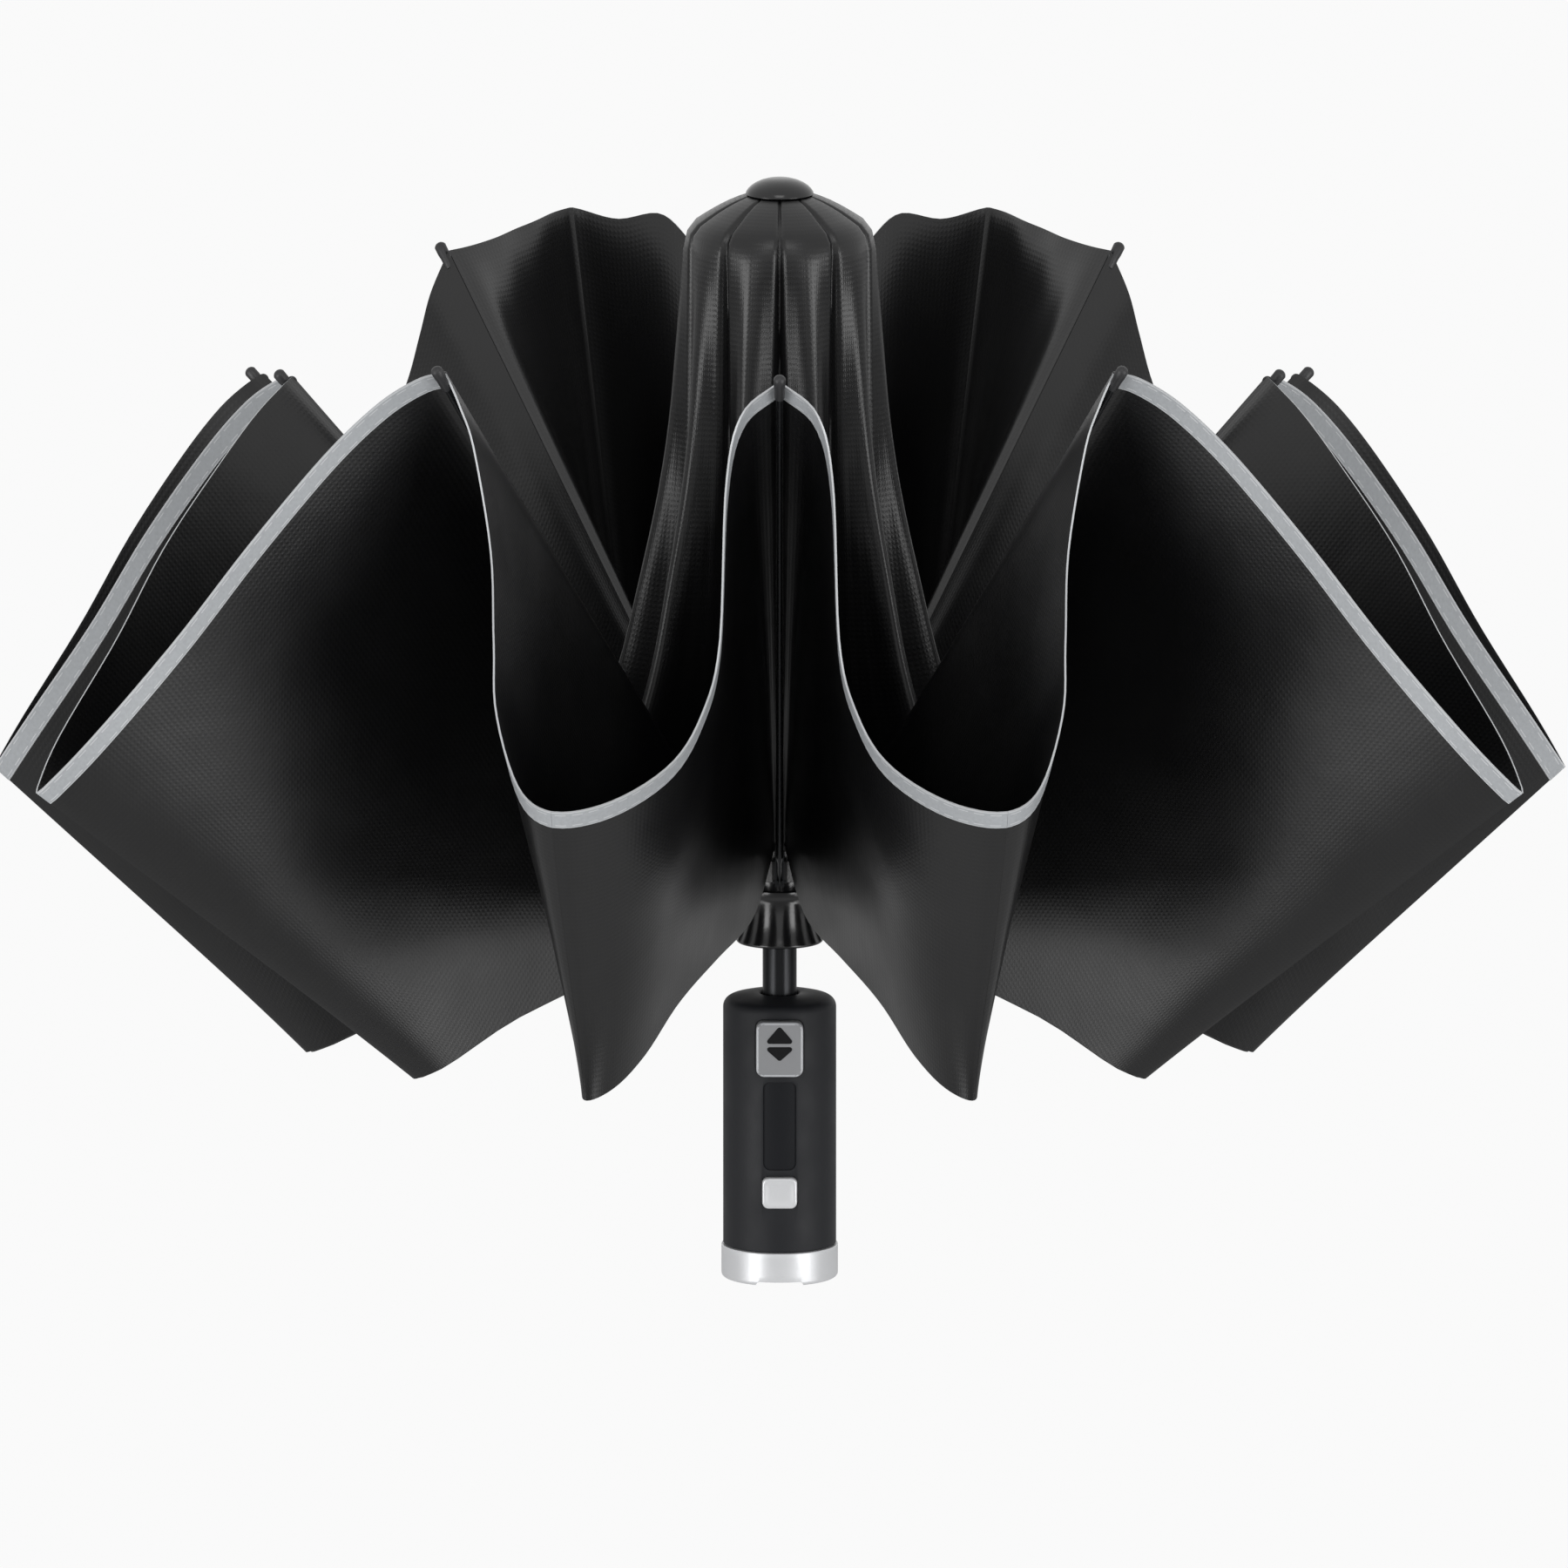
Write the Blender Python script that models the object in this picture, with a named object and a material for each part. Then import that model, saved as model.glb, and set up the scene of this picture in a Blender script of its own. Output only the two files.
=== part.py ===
"""A compact reverse-folding umbrella with ten ribs and a torch in its handle, closed but not wrapped.

Metres, +Z up. The origin is on the shaft's axis at the base of the handle. The push buttons face -Y.
Azimuths are counted from -Y towards +X, so rib 0 points at the viewer and rib 5 away from them.
"""

import math

import bmesh
import bpy
import numpy as np
from mathutils import Vector

# Clearances and cuts
GAP = 0.0003
SLIDE_GAP = 0.00035
OVERRUN = 0.002

# Handle
GRIP_RADIUS = 0.01625
GRIP_WALL = 0.00205
GRIP_TOP = 0.082
GRIP_TOP_WALL = 0.0025
GRIP_EDGE_RADIUS = 0.0022
STRIP_WIDTH = 0.0095
STRIP_DEPTH = 0.0004
STRIP_MARGIN = 0.002

# Base cap with the torch
BEZEL_RADIUS = 0.01675
BEZEL_HEIGHT = 0.0096
BEZEL_EDGE_RADIUS = 0.0012
BEZEL_LIP_RADIUS = 0.0108
BEZEL_LIP_DEPTH = 0.0022
SPIGOT_HEIGHT = 0.005
SPIGOT_WALL = 0.0016
NOTCH_WIDTH = 0.0135
NOTCH_DEPTH = 0.0012
LENS_THICKNESS = 0.0018
REFLECTOR_HEIGHT = 0.0056
REFLECTOR_WALL = 0.0008
REFLECTOR_THROAT = 0.003
BOARD_THICKNESS = 0.0014
LED_RADIUS = 0.0018
LED_HEIGHT = 0.0016

# Battery, a shrink-wrapped stack of four button cells, and its holder
BATTERY_RADIUS = 0.0065
BATTERY_LENGTH = 0.0252
BATTERY_TERMINAL_RADIUS = 0.003
BATTERY_TERMINAL_HEIGHT = 0.0006
HOLDER_WALL = 0.001
HOLDER_FLOOR = 0.0008

# Torch button and its switch
TORCH_BUTTON_WIDTH = 0.010
TORCH_BUTTON_HEIGHT = 0.009
TORCH_BUTTON_CENTRE = 0.0275
TORCH_BUTTON_CORNER = 0.0018
TORCH_BUTTON_PROUD = 0.0014
TORCH_BUTTON_TRAVEL = 0.0010
SWITCH_WIDTH = 0.006
SWITCH_HEIGHT = 0.006

# Open and close button and its spring
MAIN_BUTTON_WIDTH = 0.0135
MAIN_BUTTON_HEIGHT = 0.0160
MAIN_BUTTON_CENTRE = 0.0698
MAIN_BUTTON_CORNER = 0.0024
MAIN_BUTTON_PROUD = 0.0026
MAIN_BUTTON_TRAVEL = 0.0022
FLANGE_RIM = 0.0010
FLANGE_THICKNESS = 0.0009
BUTTON_BEVEL_SHARE = 1 / 3
SPRING_RADIUS = 0.0026
SPRING_WIRE = 0.0003
SPRING_TURNS = 3
SPRING_TURN_POINTS = 10

# Shaft of three tubes
TUBE_WALL = 0.00045
OUTER_TUBE_RADIUS = 0.0049
SHAFT_TOP = 0.312
TUBE_STEP = 0.006
CORE_HEIGHT = 0.0145
CORE_FLOOR = 0.0022

# Runner, from the shaft that shows below it up
SHAFT_SHOWN = 0.016
JOINT_RISE = 0.022
RUNNER_NECK = 0.014
RUNNER_RADIUS = 0.0076
RUNNER_RING_RADIUS = 0.0112
RUNNER_RING_HEIGHT = 0.006
BELL_RADIUS = 0.0125
BELL_NECK_RADIUS = 0.0096
BELL_RIM = 0.0025

# Crown
CROWN_RADIUS = 0.0097
CROWN_HUB_RADIUS = 0.0056
CROWN_HEIGHT = 0.0085
CROWN_RISE = 0.0005
CROWN_CAP_RADIUS = 0.0080
CROWN_CAP_HEIGHT = 0.0034
CROWN_CAP_EDGE = 0.0013
CROWN_PEG_DEPTH = 0.006

# Ribs and stretchers
RIB_COUNT = 10
INNER_RIB_WIDTH = 0.0026
INNER_RIB_DEPTH = 0.0027
INNER_RIB_WALL = 0.0004
INNER_RIB_TOP_RADIUS = 0.0080
INNER_RIB_TOP_DROP = 0.005
JOINT_RADIUS = 0.0240
OUTER_RIB_WIDTH = 0.0022
OUTER_RIB_DEPTH = 0.0020
TONGUE_WIDTH = 0.0012
TONGUE_LENGTH = 0.008
TONGUE_DEPTH = 0.0010
TONGUE_END = 0.0004
TIP_CAP_RADIUS = 0.0019
TIP_CAP_LENGTH = 0.009
STRETCHER_WIDTH = 0.0018
STRETCHER_FOOT_RADIUS = 0.0098
STRETCHER_RISE = 0.080

# Spread of the turned-up ribs: beyond their joints and above them
RIB_SPREAD = 0.125
RIB_RISE = 0.170
RIB_SPREAD_SHARES = (0.99, 1.136, 1.016, 1.096, 1.152, 1.008)
RIB_RISE_SHARES = (1.0, 1.0, 0.90, 0.80, 0.924, 0.84)

# Canopy
CLOTH_WALL = 0.0008
CLOTH_START = 0.0100
CLOTH_STANDOFF = 0.0050
TIP_STANDOFF = 0.0026
RIB_SIDE_GAP = 0.0022
FOLD_TRIM = 0.0022
HUB_TRIM = 0.0040
HEM_REACH = 0.226
HEM_REACH_SHARES = (0.947, 1.155, 1.0, 1.0, 0.863)
HEM_RISE = 0.050
HEM_RISE_SHARES = (1.061, 1.0, 0.561, 0.599, 3.176)
LOBE_REACH = 0.136
LOBE_REACH_SHARES = (1.162, 0.949, 1.0, 0.993, 0.90)
LOBE_DROP = 0.050
LOBE_DROP_SHARES = (0.761, 0.940, 1.090, 1.0, 0.600)

# Each outline below runs from a rib to the middle of its panel, as shares of the way
# round, outwards and down between its two ends.
ARCH_HEM_SHARES = (
    (0.0, 0.0, 0.0),
    (0.24, 0.0, 0.085),
    (0.333, 0.04, 0.256),
    (0.345, 0.20, 0.633),
    (0.41, 0.39, 0.79),
    (0.54, 0.57, 0.90),
    (0.78, 0.80, 0.98),
    (1.0, 1.0, 1.0),
)
ROUND_HEM_SHARES = (
    (0.0, 0.0, 0.0),
    (0.10, 0.0, 0.08),
    (0.20, 0.0, 0.19),
    (0.38, 0.12, 0.43),
    (0.53, 0.38, 0.625),
    (0.62, 0.56, 0.78),
    (0.83, 0.83, 0.96),
    (1.0, 1.0, 1.0),
)
CREASED_HEM_SHARES = (
    (0.0, 0.0, 0.0),
    (0.13, 0.05, 0.02),
    (0.27, 0.14, 0.08),
    (0.42, 0.27, 0.20),
    (0.58, 0.46, 0.40),
    (0.74, 0.65, 0.63),
    (0.89, 0.88, 0.87),
    (1.0, 1.0, 1.0),
)
STEEP_HEM_SHARES = (
    (0.0, 0.0, 0.0),
    (0.07, 0.06, 0.10),
    (0.08, 0.13, 0.20),
    (0.10, 0.22, 0.33),
    (0.17, 0.34, 0.47),
    (0.34, 0.52, 0.62),
    (0.66, 0.76, 0.82),
    (1.0, 1.0, 1.0),
)
FAR_HEM_SHARES = (
    (0.0, 0.0, 0.0),
    (0.12, 0.03, 0.04),
    (0.26, 0.08, 0.12),
    (0.40, 0.16, 0.34),
    (0.52, 0.27, 0.72),
    (0.66, 0.46, 1.10),
    (0.84, 0.72, 0.91),
    (1.0, 1.0, 1.0),
)
FOLD_SHARES = (
    (0.0, 0.0, 0.0),
    (0.27, 0.0, 0.10),
    (0.50, 0.17, 0.47),
    (0.70, 0.42, 0.60),
    (0.81, 0.70, 0.75),
    (0.885, 0.91, 0.93),
    (1.0, 1.0, 1.0),
)
PANEL_COLUMNS = 6
PANEL_ROWS = 6

# Central tent of the canopy
TENT_RING_RADIUS = 0.0045
TENT_RING_RISE = 0.0040
TENT_SHOULDER_RADIUS = 0.027
TENT_SHOULDER_DROP = 0.0105
SEAM_GAP = 0.0008
ARM_INSET = 0.0015
STRAIGHT_SHARES = (
    (0.0, 0.0, 0.0),
    (1.0, 1.0, 1.0),
)
TENT_ARM_SHARES = (
    (1.0, 1.0),
    (0.95, 0.72),
    (0.80, 0.42),
    (0.48, 0.18),
    (0.0, 0.0),
)

# Corners of a bar's section with its edges taken off, as shares of its width and depth
ROUNDED_BAR_SHARES = (
    (0.5, 0.25),
    (0.25, 0.5),
    (-0.25, 0.5),
    (-0.5, 0.25),
    (-0.5, -0.25),
    (-0.25, -0.5),
    (0.25, -0.5),
    (0.5, -0.25),
)

ROUND_SEGMENTS = 32
FINE_SEGMENTS = 24
EDGE_STEPS = 4
CORNER_STEPS = 4
SHARP_ANGLE = math.radians(35)

# Sizes that follow from the ones above
GRIP_BORE = GRIP_RADIUS - GRIP_WALL
GRIP_BASE = BEZEL_HEIGHT + GAP
TUBE_RADII = tuple(OUTER_TUBE_RADIUS - step * (TUBE_WALL + SLIDE_GAP) for step in range(3))
SHAFT_BORE = OUTER_TUBE_RADIUS + SLIDE_GAP
LENS_BASE = BEZEL_LIP_DEPTH + GAP
LENS_RADIUS = GRIP_BORE - GAP - SPIGOT_WALL - GAP
REFLECTOR_BASE = LENS_BASE + LENS_THICKNESS + GAP
BOARD_BASE = REFLECTOR_BASE + REFLECTOR_HEIGHT + GAP + LED_HEIGHT
HOLDER_BASE = BOARD_BASE + BOARD_THICKNESS + GAP
HOLDER_BORE = BATTERY_RADIUS + GAP
HOLDER_RADIUS = HOLDER_BORE + HOLDER_WALL
BATTERY_BASE = HOLDER_BASE + HOLDER_FLOOR + GAP
HOLDER_TOP = BATTERY_BASE + BATTERY_LENGTH + BATTERY_TERMINAL_HEIGHT
CORE_BASE = HOLDER_TOP + GAP
SHAFT_BASE = CORE_BASE + CORE_FLOOR + GAP
RIB_STEP = 2 * math.pi / RIB_COUNT
RUNNER_BASE = GRIP_TOP + SHAFT_SHOWN
JOINT_HEIGHT = RUNNER_BASE + JOINT_RISE
RUNNER_TOP = JOINT_HEIGHT + RUNNER_NECK
STRETCHER_HEAD_HEIGHT = JOINT_HEIGHT + STRETCHER_RISE
CROWN_TOP = SHAFT_TOP + CROWN_RISE
CROWN_BASE = CROWN_TOP - CROWN_HEIGHT
TENT_RING_HEIGHT = CROWN_TOP + TENT_RING_RISE
TENT_SHOULDER_HEIGHT = TENT_RING_HEIGHT - TENT_SHOULDER_DROP
INNER_RIB_TOP = CROWN_TOP - INNER_RIB_TOP_DROP
TENT_ROOF_SLOPE = TENT_SHOULDER_DROP / (TENT_SHOULDER_RADIUS - TENT_RING_RADIUS)
INNER_RIB_SLOPE = (JOINT_RADIUS - INNER_RIB_TOP_RADIUS) / (INNER_RIB_TOP - JOINT_HEIGHT)


def clear_scene():
    for old in list(bpy.data.objects):
        bpy.data.objects.remove(old, do_unlink=True)


def finish(name, colour, roughness, metallic=0.0):
    """One plain Principled material, its colour in linear values."""
    made = bpy.data.materials.new(name)
    made.use_nodes = True
    shader = made.node_tree.nodes["Principled BSDF"]
    shader.inputs["Base Color"].default_value = (*colour, 1.0)
    shader.inputs["Roughness"].default_value = roughness
    shader.inputs["Metallic"].default_value = metallic
    made.diffuse_color = (*colour, 1.0)
    return made


def solid(name, points, faces, material, origin=(0, 0, 0)):
    """A named closed mesh, its faces turned outwards, with its origin at the given place."""
    shape = bmesh.new()
    corners = [shape.verts.new(Vector(point) - Vector(origin)) for point in points]
    for face in faces:
        shape.faces.new([corners[index] for index in face])
    bmesh.ops.recalc_face_normals(shape, faces=shape.faces)
    mesh = bpy.data.meshes.new(name)
    shape.to_mesh(mesh)
    shape.free()
    mesh.shade_smooth()
    mesh.set_sharp_from_angle(angle=SHARP_ANGLE)
    mesh.materials.append(material)
    made = bpy.data.objects.new(name, mesh)
    made.location = origin
    bpy.context.scene.collection.objects.link(made)
    return made


def cut(target, cutter):
    """Takes the cutter's shape out of the target and hides the cutter."""
    cutter.hide_render = True
    cutter.display_type = "WIRE"
    step = target.modifiers.new("cut_" + cutter.name, "BOOLEAN")
    step.operation = "DIFFERENCE"
    step.solver = "EXACT"
    step.object = cutter


def rings_to_solid(name, rings, material, origin=(0, 0, 0), joined=False):
    """A skin over rings with equal point counts: closed on itself, or with a flat cap at each end."""
    count = len(rings[0])
    points = [tuple(point) for ring in rings for point in ring]
    last = len(rings) if joined else len(rings) - 1
    faces = []
    for ring in range(last):
        low = ring * count
        high = (ring + 1) % len(rings) * count
        for here in range(count):
            after = (here + 1) % count
            faces.append((low + here, low + after, high + after, high + here))
    if not joined:
        faces.append(tuple(range(count)))
        faces.append(tuple(last * count + here for here in range(count)))
    return solid(name, points, faces, material, origin)


def turned(name, outline, material, segments=ROUND_SEGMENTS):
    """The closed outline of (radius, height) points, clear of the axis, turned about the Z axis."""
    angles = np.arange(segments) * 2 * math.pi / segments
    rings = [
        np.column_stack([radius * np.sin(angles), radius * np.cos(angles), np.full(segments, height)])
        for radius, height in outline
    ]
    return rings_to_solid(name, rings, material, joined=True)


def turned_full(name, outline, material, segments=ROUND_SEGMENTS):
    """As turned, for an outline that starts and ends with a flat face across the axis."""
    angles = np.arange(segments) * 2 * math.pi / segments
    rings = [
        np.column_stack([radius * np.sin(angles), radius * np.cos(angles), np.full(segments, height)])
        for radius, height in outline
    ]
    return rings_to_solid(name, rings, material)


def rounded_rectangle(width, height, corner, centre_height):
    """Outline points (x, z) of a rectangle with round corners."""
    across = width / 2 - corner
    up = height / 2 - corner
    points = []
    for side_x, side_z, start in ((1, 1, 0), (-1, 1, 90), (-1, -1, 180), (1, -1, 270)):
        for step in range(CORNER_STEPS):
            angle = math.radians(start + 90 * step / (CORNER_STEPS - 1))
            x = side_x * across + corner * math.cos(angle)
            z = centre_height + side_z * up + corner * math.sin(angle)
            points.append((x, z))
    return points


def plate_rings(outline, depths):
    """The outline (x, z) repeated at each depth along Y, with its own inset."""
    rings = []
    middle = np.mean(np.array(outline), axis=0)
    reach = np.abs(np.array(outline) - middle).max(axis=0)
    for depth, inset in depths:
        scale = (reach - inset) / reach
        ring = [
            (middle[0] + (x - middle[0]) * scale[0], depth, middle[1] + (z - middle[1]) * scale[1])
            for x, z in outline
        ]
        rings.append(ring)
    return rings


def polar(azimuth, radius, height):
    return np.array([radius * math.sin(azimuth), -radius * math.cos(azimuth), height])


def outward(azimuth):
    return np.array([math.sin(azimuth), -math.cos(azimuth), 0.0])


def sideways(azimuth):
    return np.array([math.cos(azimuth), math.sin(azimuth), 0.0])


def bar(name, azimuth, stations, material, origin=(0, 0, 0)):
    """A rib carried along a radial plane. Each station is (radius, height, lean, width, depth)."""
    side = sideways(azimuth)
    rings = []
    for radius, height, lean, width, depth in stations:
        middle = polar(azimuth, radius, height)
        across = outward(azimuth) * math.cos(lean) - np.array([0.0, 0.0, math.sin(lean)])
        ring = []
        for share_side, share_depth in ROUNDED_BAR_SHARES:
            ring.append(middle + side * width * share_side + across * depth * share_depth)
        rings.append(ring)
    return rings_to_solid(name, rings, material, origin)


def make_handle(materials):
    """Grip shell with its two windows and the shallow strip between them."""
    edge = GRIP_EDGE_RADIUS
    outline = [(GRIP_BORE, GRIP_BASE), (GRIP_RADIUS, GRIP_BASE)]
    for step in range(EDGE_STEPS + 1):
        angle = math.radians(90 * step / EDGE_STEPS)
        radius = GRIP_RADIUS - edge + edge * math.cos(angle)
        outline.append((radius, GRIP_TOP - edge + edge * math.sin(angle)))
    outline.append((SHAFT_BORE, GRIP_TOP))
    outline.append((SHAFT_BORE, GRIP_TOP - GRIP_TOP_WALL))
    outline.append((GRIP_BORE, GRIP_TOP - GRIP_TOP_WALL))
    grip = turned("grip_shell", outline, materials["grip"])
    for name, width, height, corner, centre in (
        ("torch_window", TORCH_BUTTON_WIDTH, TORCH_BUTTON_HEIGHT, TORCH_BUTTON_CORNER, TORCH_BUTTON_CENTRE),
        ("main_window", MAIN_BUTTON_WIDTH, MAIN_BUTTON_HEIGHT, MAIN_BUTTON_CORNER, MAIN_BUTTON_CENTRE),
    ):
        shape = rounded_rectangle(width + 2 * GAP, height + 2 * GAP, corner + GAP, centre)
        depths = ((-GRIP_RADIUS - OVERRUN, 0), (-GRIP_BORE / 2, 0))
        cut(grip, rings_to_solid(name, plate_rings(shape, depths), materials["grip"]))
    low = TORCH_BUTTON_CENTRE + TORCH_BUTTON_HEIGHT / 2 + STRIP_MARGIN
    high = MAIN_BUTTON_CENTRE - MAIN_BUTTON_HEIGHT / 2 - STRIP_MARGIN
    strip_chord = math.sqrt(GRIP_RADIUS ** 2 - (STRIP_WIDTH / 2) ** 2)
    shape = rounded_rectangle(STRIP_WIDTH, high - low, STRIP_MARGIN, (low + high) / 2)
    depths = ((-GRIP_RADIUS - OVERRUN, 0), (-strip_chord + STRIP_DEPTH, 0))
    cut(grip, rings_to_solid("strip_cut", plate_rings(shape, depths), materials["grip"]))
    return grip


def make_button(name, width, height, corner, centre, proud, material):
    """A push button with a flange behind the grip's wall. It returns the place of the flange's front."""
    half = width / 2 + FLANGE_RIM
    flange_front = -math.sqrt((GRIP_BORE - GAP) ** 2 - half ** 2)
    front = -GRIP_RADIUS - proud
    face = rounded_rectangle(width, height, corner, centre)
    flange = rounded_rectangle(width + 2 * FLANGE_RIM, height + 2 * FLANGE_RIM, corner + FLANGE_RIM, centre)
    bevel = proud * BUTTON_BEVEL_SHARE
    rings = plate_rings(flange, ((flange_front + FLANGE_THICKNESS, 0), (flange_front, 0)))
    rings += plate_rings(face, ((flange_front, 0), (front + bevel, 0), (front, bevel)))
    rings_to_solid(name, rings, material, origin=(0, flange_front, centre))
    return flange_front


def make_spring(start, end, material):
    """The button's coil spring: an even helix about an axis along Y, one tube from end to end."""
    curve = bpy.data.curves.new("main_button_spring", "CURVE")
    curve.dimensions = "3D"
    curve.bevel_depth = SPRING_WIRE
    curve.bevel_resolution = 1
    curve.use_fill_caps = True
    count = SPRING_TURNS * SPRING_TURN_POINTS + 1
    spline = curve.splines.new("POLY")
    spline.points.add(count - 1)
    angles = np.linspace(0, SPRING_TURNS * 2 * math.pi, count)
    along = np.linspace(start + SPRING_WIRE, end - SPRING_WIRE, count)
    places = np.column_stack([SPRING_RADIUS * np.cos(angles), along, SPRING_RADIUS * np.sin(angles)])
    for point, place in zip(spline.points, places):
        point.co = (*place, 1)
    next_turn = np.linalg.norm(places[SPRING_TURN_POINTS:] - places[:-SPRING_TURN_POINTS], axis=1)
    print("least gap between the spring's turns, metres:", next_turn.min() - 2 * SPRING_WIRE)
    curve.materials.append(material)
    made = bpy.data.objects.new("main_button_spring", curve)
    made.location = (0, 0, MAIN_BUTTON_CENTRE)
    bpy.context.scene.collection.objects.link(made)


def make_buttons(materials):
    torch_front = make_button(
        "torch_button", TORCH_BUTTON_WIDTH, TORCH_BUTTON_HEIGHT, TORCH_BUTTON_CORNER,
        TORCH_BUTTON_CENTRE, TORCH_BUTTON_PROUD, materials["silver"],
    )
    main_front = make_button(
        "main_button", MAIN_BUTTON_WIDTH, MAIN_BUTTON_HEIGHT, MAIN_BUTTON_CORNER,
        MAIN_BUTTON_CENTRE, MAIN_BUTTON_PROUD, materials["button"],
    )
    switch_front = torch_front + FLANGE_THICKNESS + TORCH_BUTTON_TRAVEL + GAP
    shape = rounded_rectangle(SWITCH_WIDTH, SWITCH_HEIGHT, GAP, TORCH_BUTTON_CENTRE)
    depths = ((switch_front, GAP), (switch_front + GAP, 0), (-HOLDER_RADIUS - GAP, 0))
    rings_to_solid("torch_switch", plate_rings(shape, depths), materials["board"])
    make_spring(main_front + FLANGE_THICKNESS + GAP, -OUTER_TUBE_RADIUS - GAP, materials["steel"])


def make_torch(materials):
    """Base cap, lens, reflector, board with its lamp, battery and battery holder, from the base up."""
    spigot = GRIP_BORE - GAP
    edge = BEZEL_EDGE_RADIUS
    outline = [(BEZEL_LIP_RADIUS, 0)]
    for step in range(EDGE_STEPS + 1):
        angle = math.radians(-90 + 90 * step / EDGE_STEPS)
        outline.append((BEZEL_RADIUS - edge + edge * math.cos(angle), edge + edge * math.sin(angle)))
    outline += [
        (BEZEL_RADIUS, BEZEL_HEIGHT),
        (spigot, BEZEL_HEIGHT),
        (spigot, BEZEL_HEIGHT + SPIGOT_HEIGHT),
        (spigot - SPIGOT_WALL, BEZEL_HEIGHT + SPIGOT_HEIGHT),
        (spigot - SPIGOT_WALL, BEZEL_LIP_DEPTH),
        (BEZEL_LIP_RADIUS, BEZEL_LIP_DEPTH),
    ]
    bezel = turned("torch_bezel", outline, materials["silver"])
    shape = rounded_rectangle(NOTCH_WIDTH, 2 * NOTCH_DEPTH, NOTCH_DEPTH / 2, 0)
    depths = ((-BEZEL_RADIUS - OVERRUN, 0), (BEZEL_RADIUS + OVERRUN, 0))
    cut(bezel, rings_to_solid("base_notch", plate_rings(shape, depths), materials["silver"]))
    lens = [
        (LENS_RADIUS, LENS_BASE + LENS_THICKNESS),
        (LENS_RADIUS, LENS_BASE),
    ]
    turned_full("torch_lens", lens, materials["clear"])
    wide = LENS_RADIUS - GAP
    reflector = [
        (wide, REFLECTOR_BASE),
        (wide, REFLECTOR_BASE + REFLECTOR_WALL),
        (REFLECTOR_THROAT + REFLECTOR_WALL, REFLECTOR_BASE + REFLECTOR_HEIGHT),
        (REFLECTOR_THROAT, REFLECTOR_BASE + REFLECTOR_HEIGHT),
        (wide - REFLECTOR_WALL, REFLECTOR_BASE),
    ]
    turned("torch_reflector", reflector, materials["chrome"])
    board = [
        (LENS_RADIUS - GAP, BOARD_BASE + BOARD_THICKNESS),
        (LENS_RADIUS - GAP, BOARD_BASE),
        (LED_RADIUS, BOARD_BASE),
        (LED_RADIUS, BOARD_BASE - LED_HEIGHT / 2),
        (LED_RADIUS / 2, BOARD_BASE - LED_HEIGHT),
    ]
    turned_full("led_board", board, materials["board"], FINE_SEGMENTS)
    holder = [
        (HOLDER_BORE, HOLDER_BASE + HOLDER_FLOOR),
        (BATTERY_TERMINAL_RADIUS, HOLDER_BASE + HOLDER_FLOOR),
        (BATTERY_TERMINAL_RADIUS, HOLDER_BASE),
        (HOLDER_RADIUS, HOLDER_BASE),
        (HOLDER_RADIUS, HOLDER_TOP),
        (HOLDER_BORE, HOLDER_TOP),
    ]
    turned("battery_holder", holder, materials["dark_plastic"], FINE_SEGMENTS)
    top = BATTERY_BASE + BATTERY_LENGTH - GAP
    cell = [
        (BATTERY_RADIUS, BATTERY_BASE),
        (BATTERY_RADIUS, top),
        (BATTERY_TERMINAL_RADIUS, top),
        (BATTERY_TERMINAL_RADIUS, top + BATTERY_TERMINAL_HEIGHT),
    ]
    turned_full("battery", cell, materials["steel"], FINE_SEGMENTS)


def make_shaft(materials):
    """The socket in the handle and the three tubes, one in the other."""
    core = GRIP_BORE - GAP
    outline = [
        (core, CORE_BASE),
        (core, CORE_BASE + CORE_HEIGHT),
        (SHAFT_BORE, CORE_BASE + CORE_HEIGHT),
        (SHAFT_BORE, CORE_BASE + CORE_FLOOR),
        (TUBE_RADII[2] - TUBE_WALL, CORE_BASE + CORE_FLOOR),
        (TUBE_RADII[2] - TUBE_WALL, CORE_BASE),
    ]
    turned("shaft_socket", outline, materials["dark_plastic"], FINE_SEGMENTS)
    names = ("outer_tube", "middle_tube", "inner_tube")
    for step, name in enumerate(names):
        radius = TUBE_RADII[step]
        low = SHAFT_BASE + step * TUBE_STEP / 2
        high = SHAFT_TOP - (2 - step) * TUBE_STEP - (CROWN_HEIGHT if step < 2 else 0)
        outline = [
            (radius - TUBE_WALL, low),
            (radius, low),
            (radius, high),
            (radius - TUBE_WALL, high),
        ]
        turned(name, outline, materials["steel_black"], FINE_SEGMENTS)


def slot_cutters(name, inner, outer, low, high, width, material):
    """One cutter with a radial slot at each rib."""
    points = []
    faces = []
    for rib in range(RIB_COUNT):
        azimuth = rib * RIB_STEP
        first = len(points)
        for height in (low, high):
            for radius, side in ((inner, -1), (outer, -1), (outer, 1), (inner, 1)):
                points.append(polar(azimuth, radius, height) + sideways(azimuth) * side * width / 2)
        for a, b, c, d in (
            (0, 1, 2, 3), (4, 5, 6, 7), (0, 1, 5, 4), (1, 2, 6, 5), (2, 3, 7, 6), (3, 0, 4, 7),
        ):
            faces.append((first + a, first + b, first + c, first + d))
    return solid(name, points, faces, material)


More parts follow.
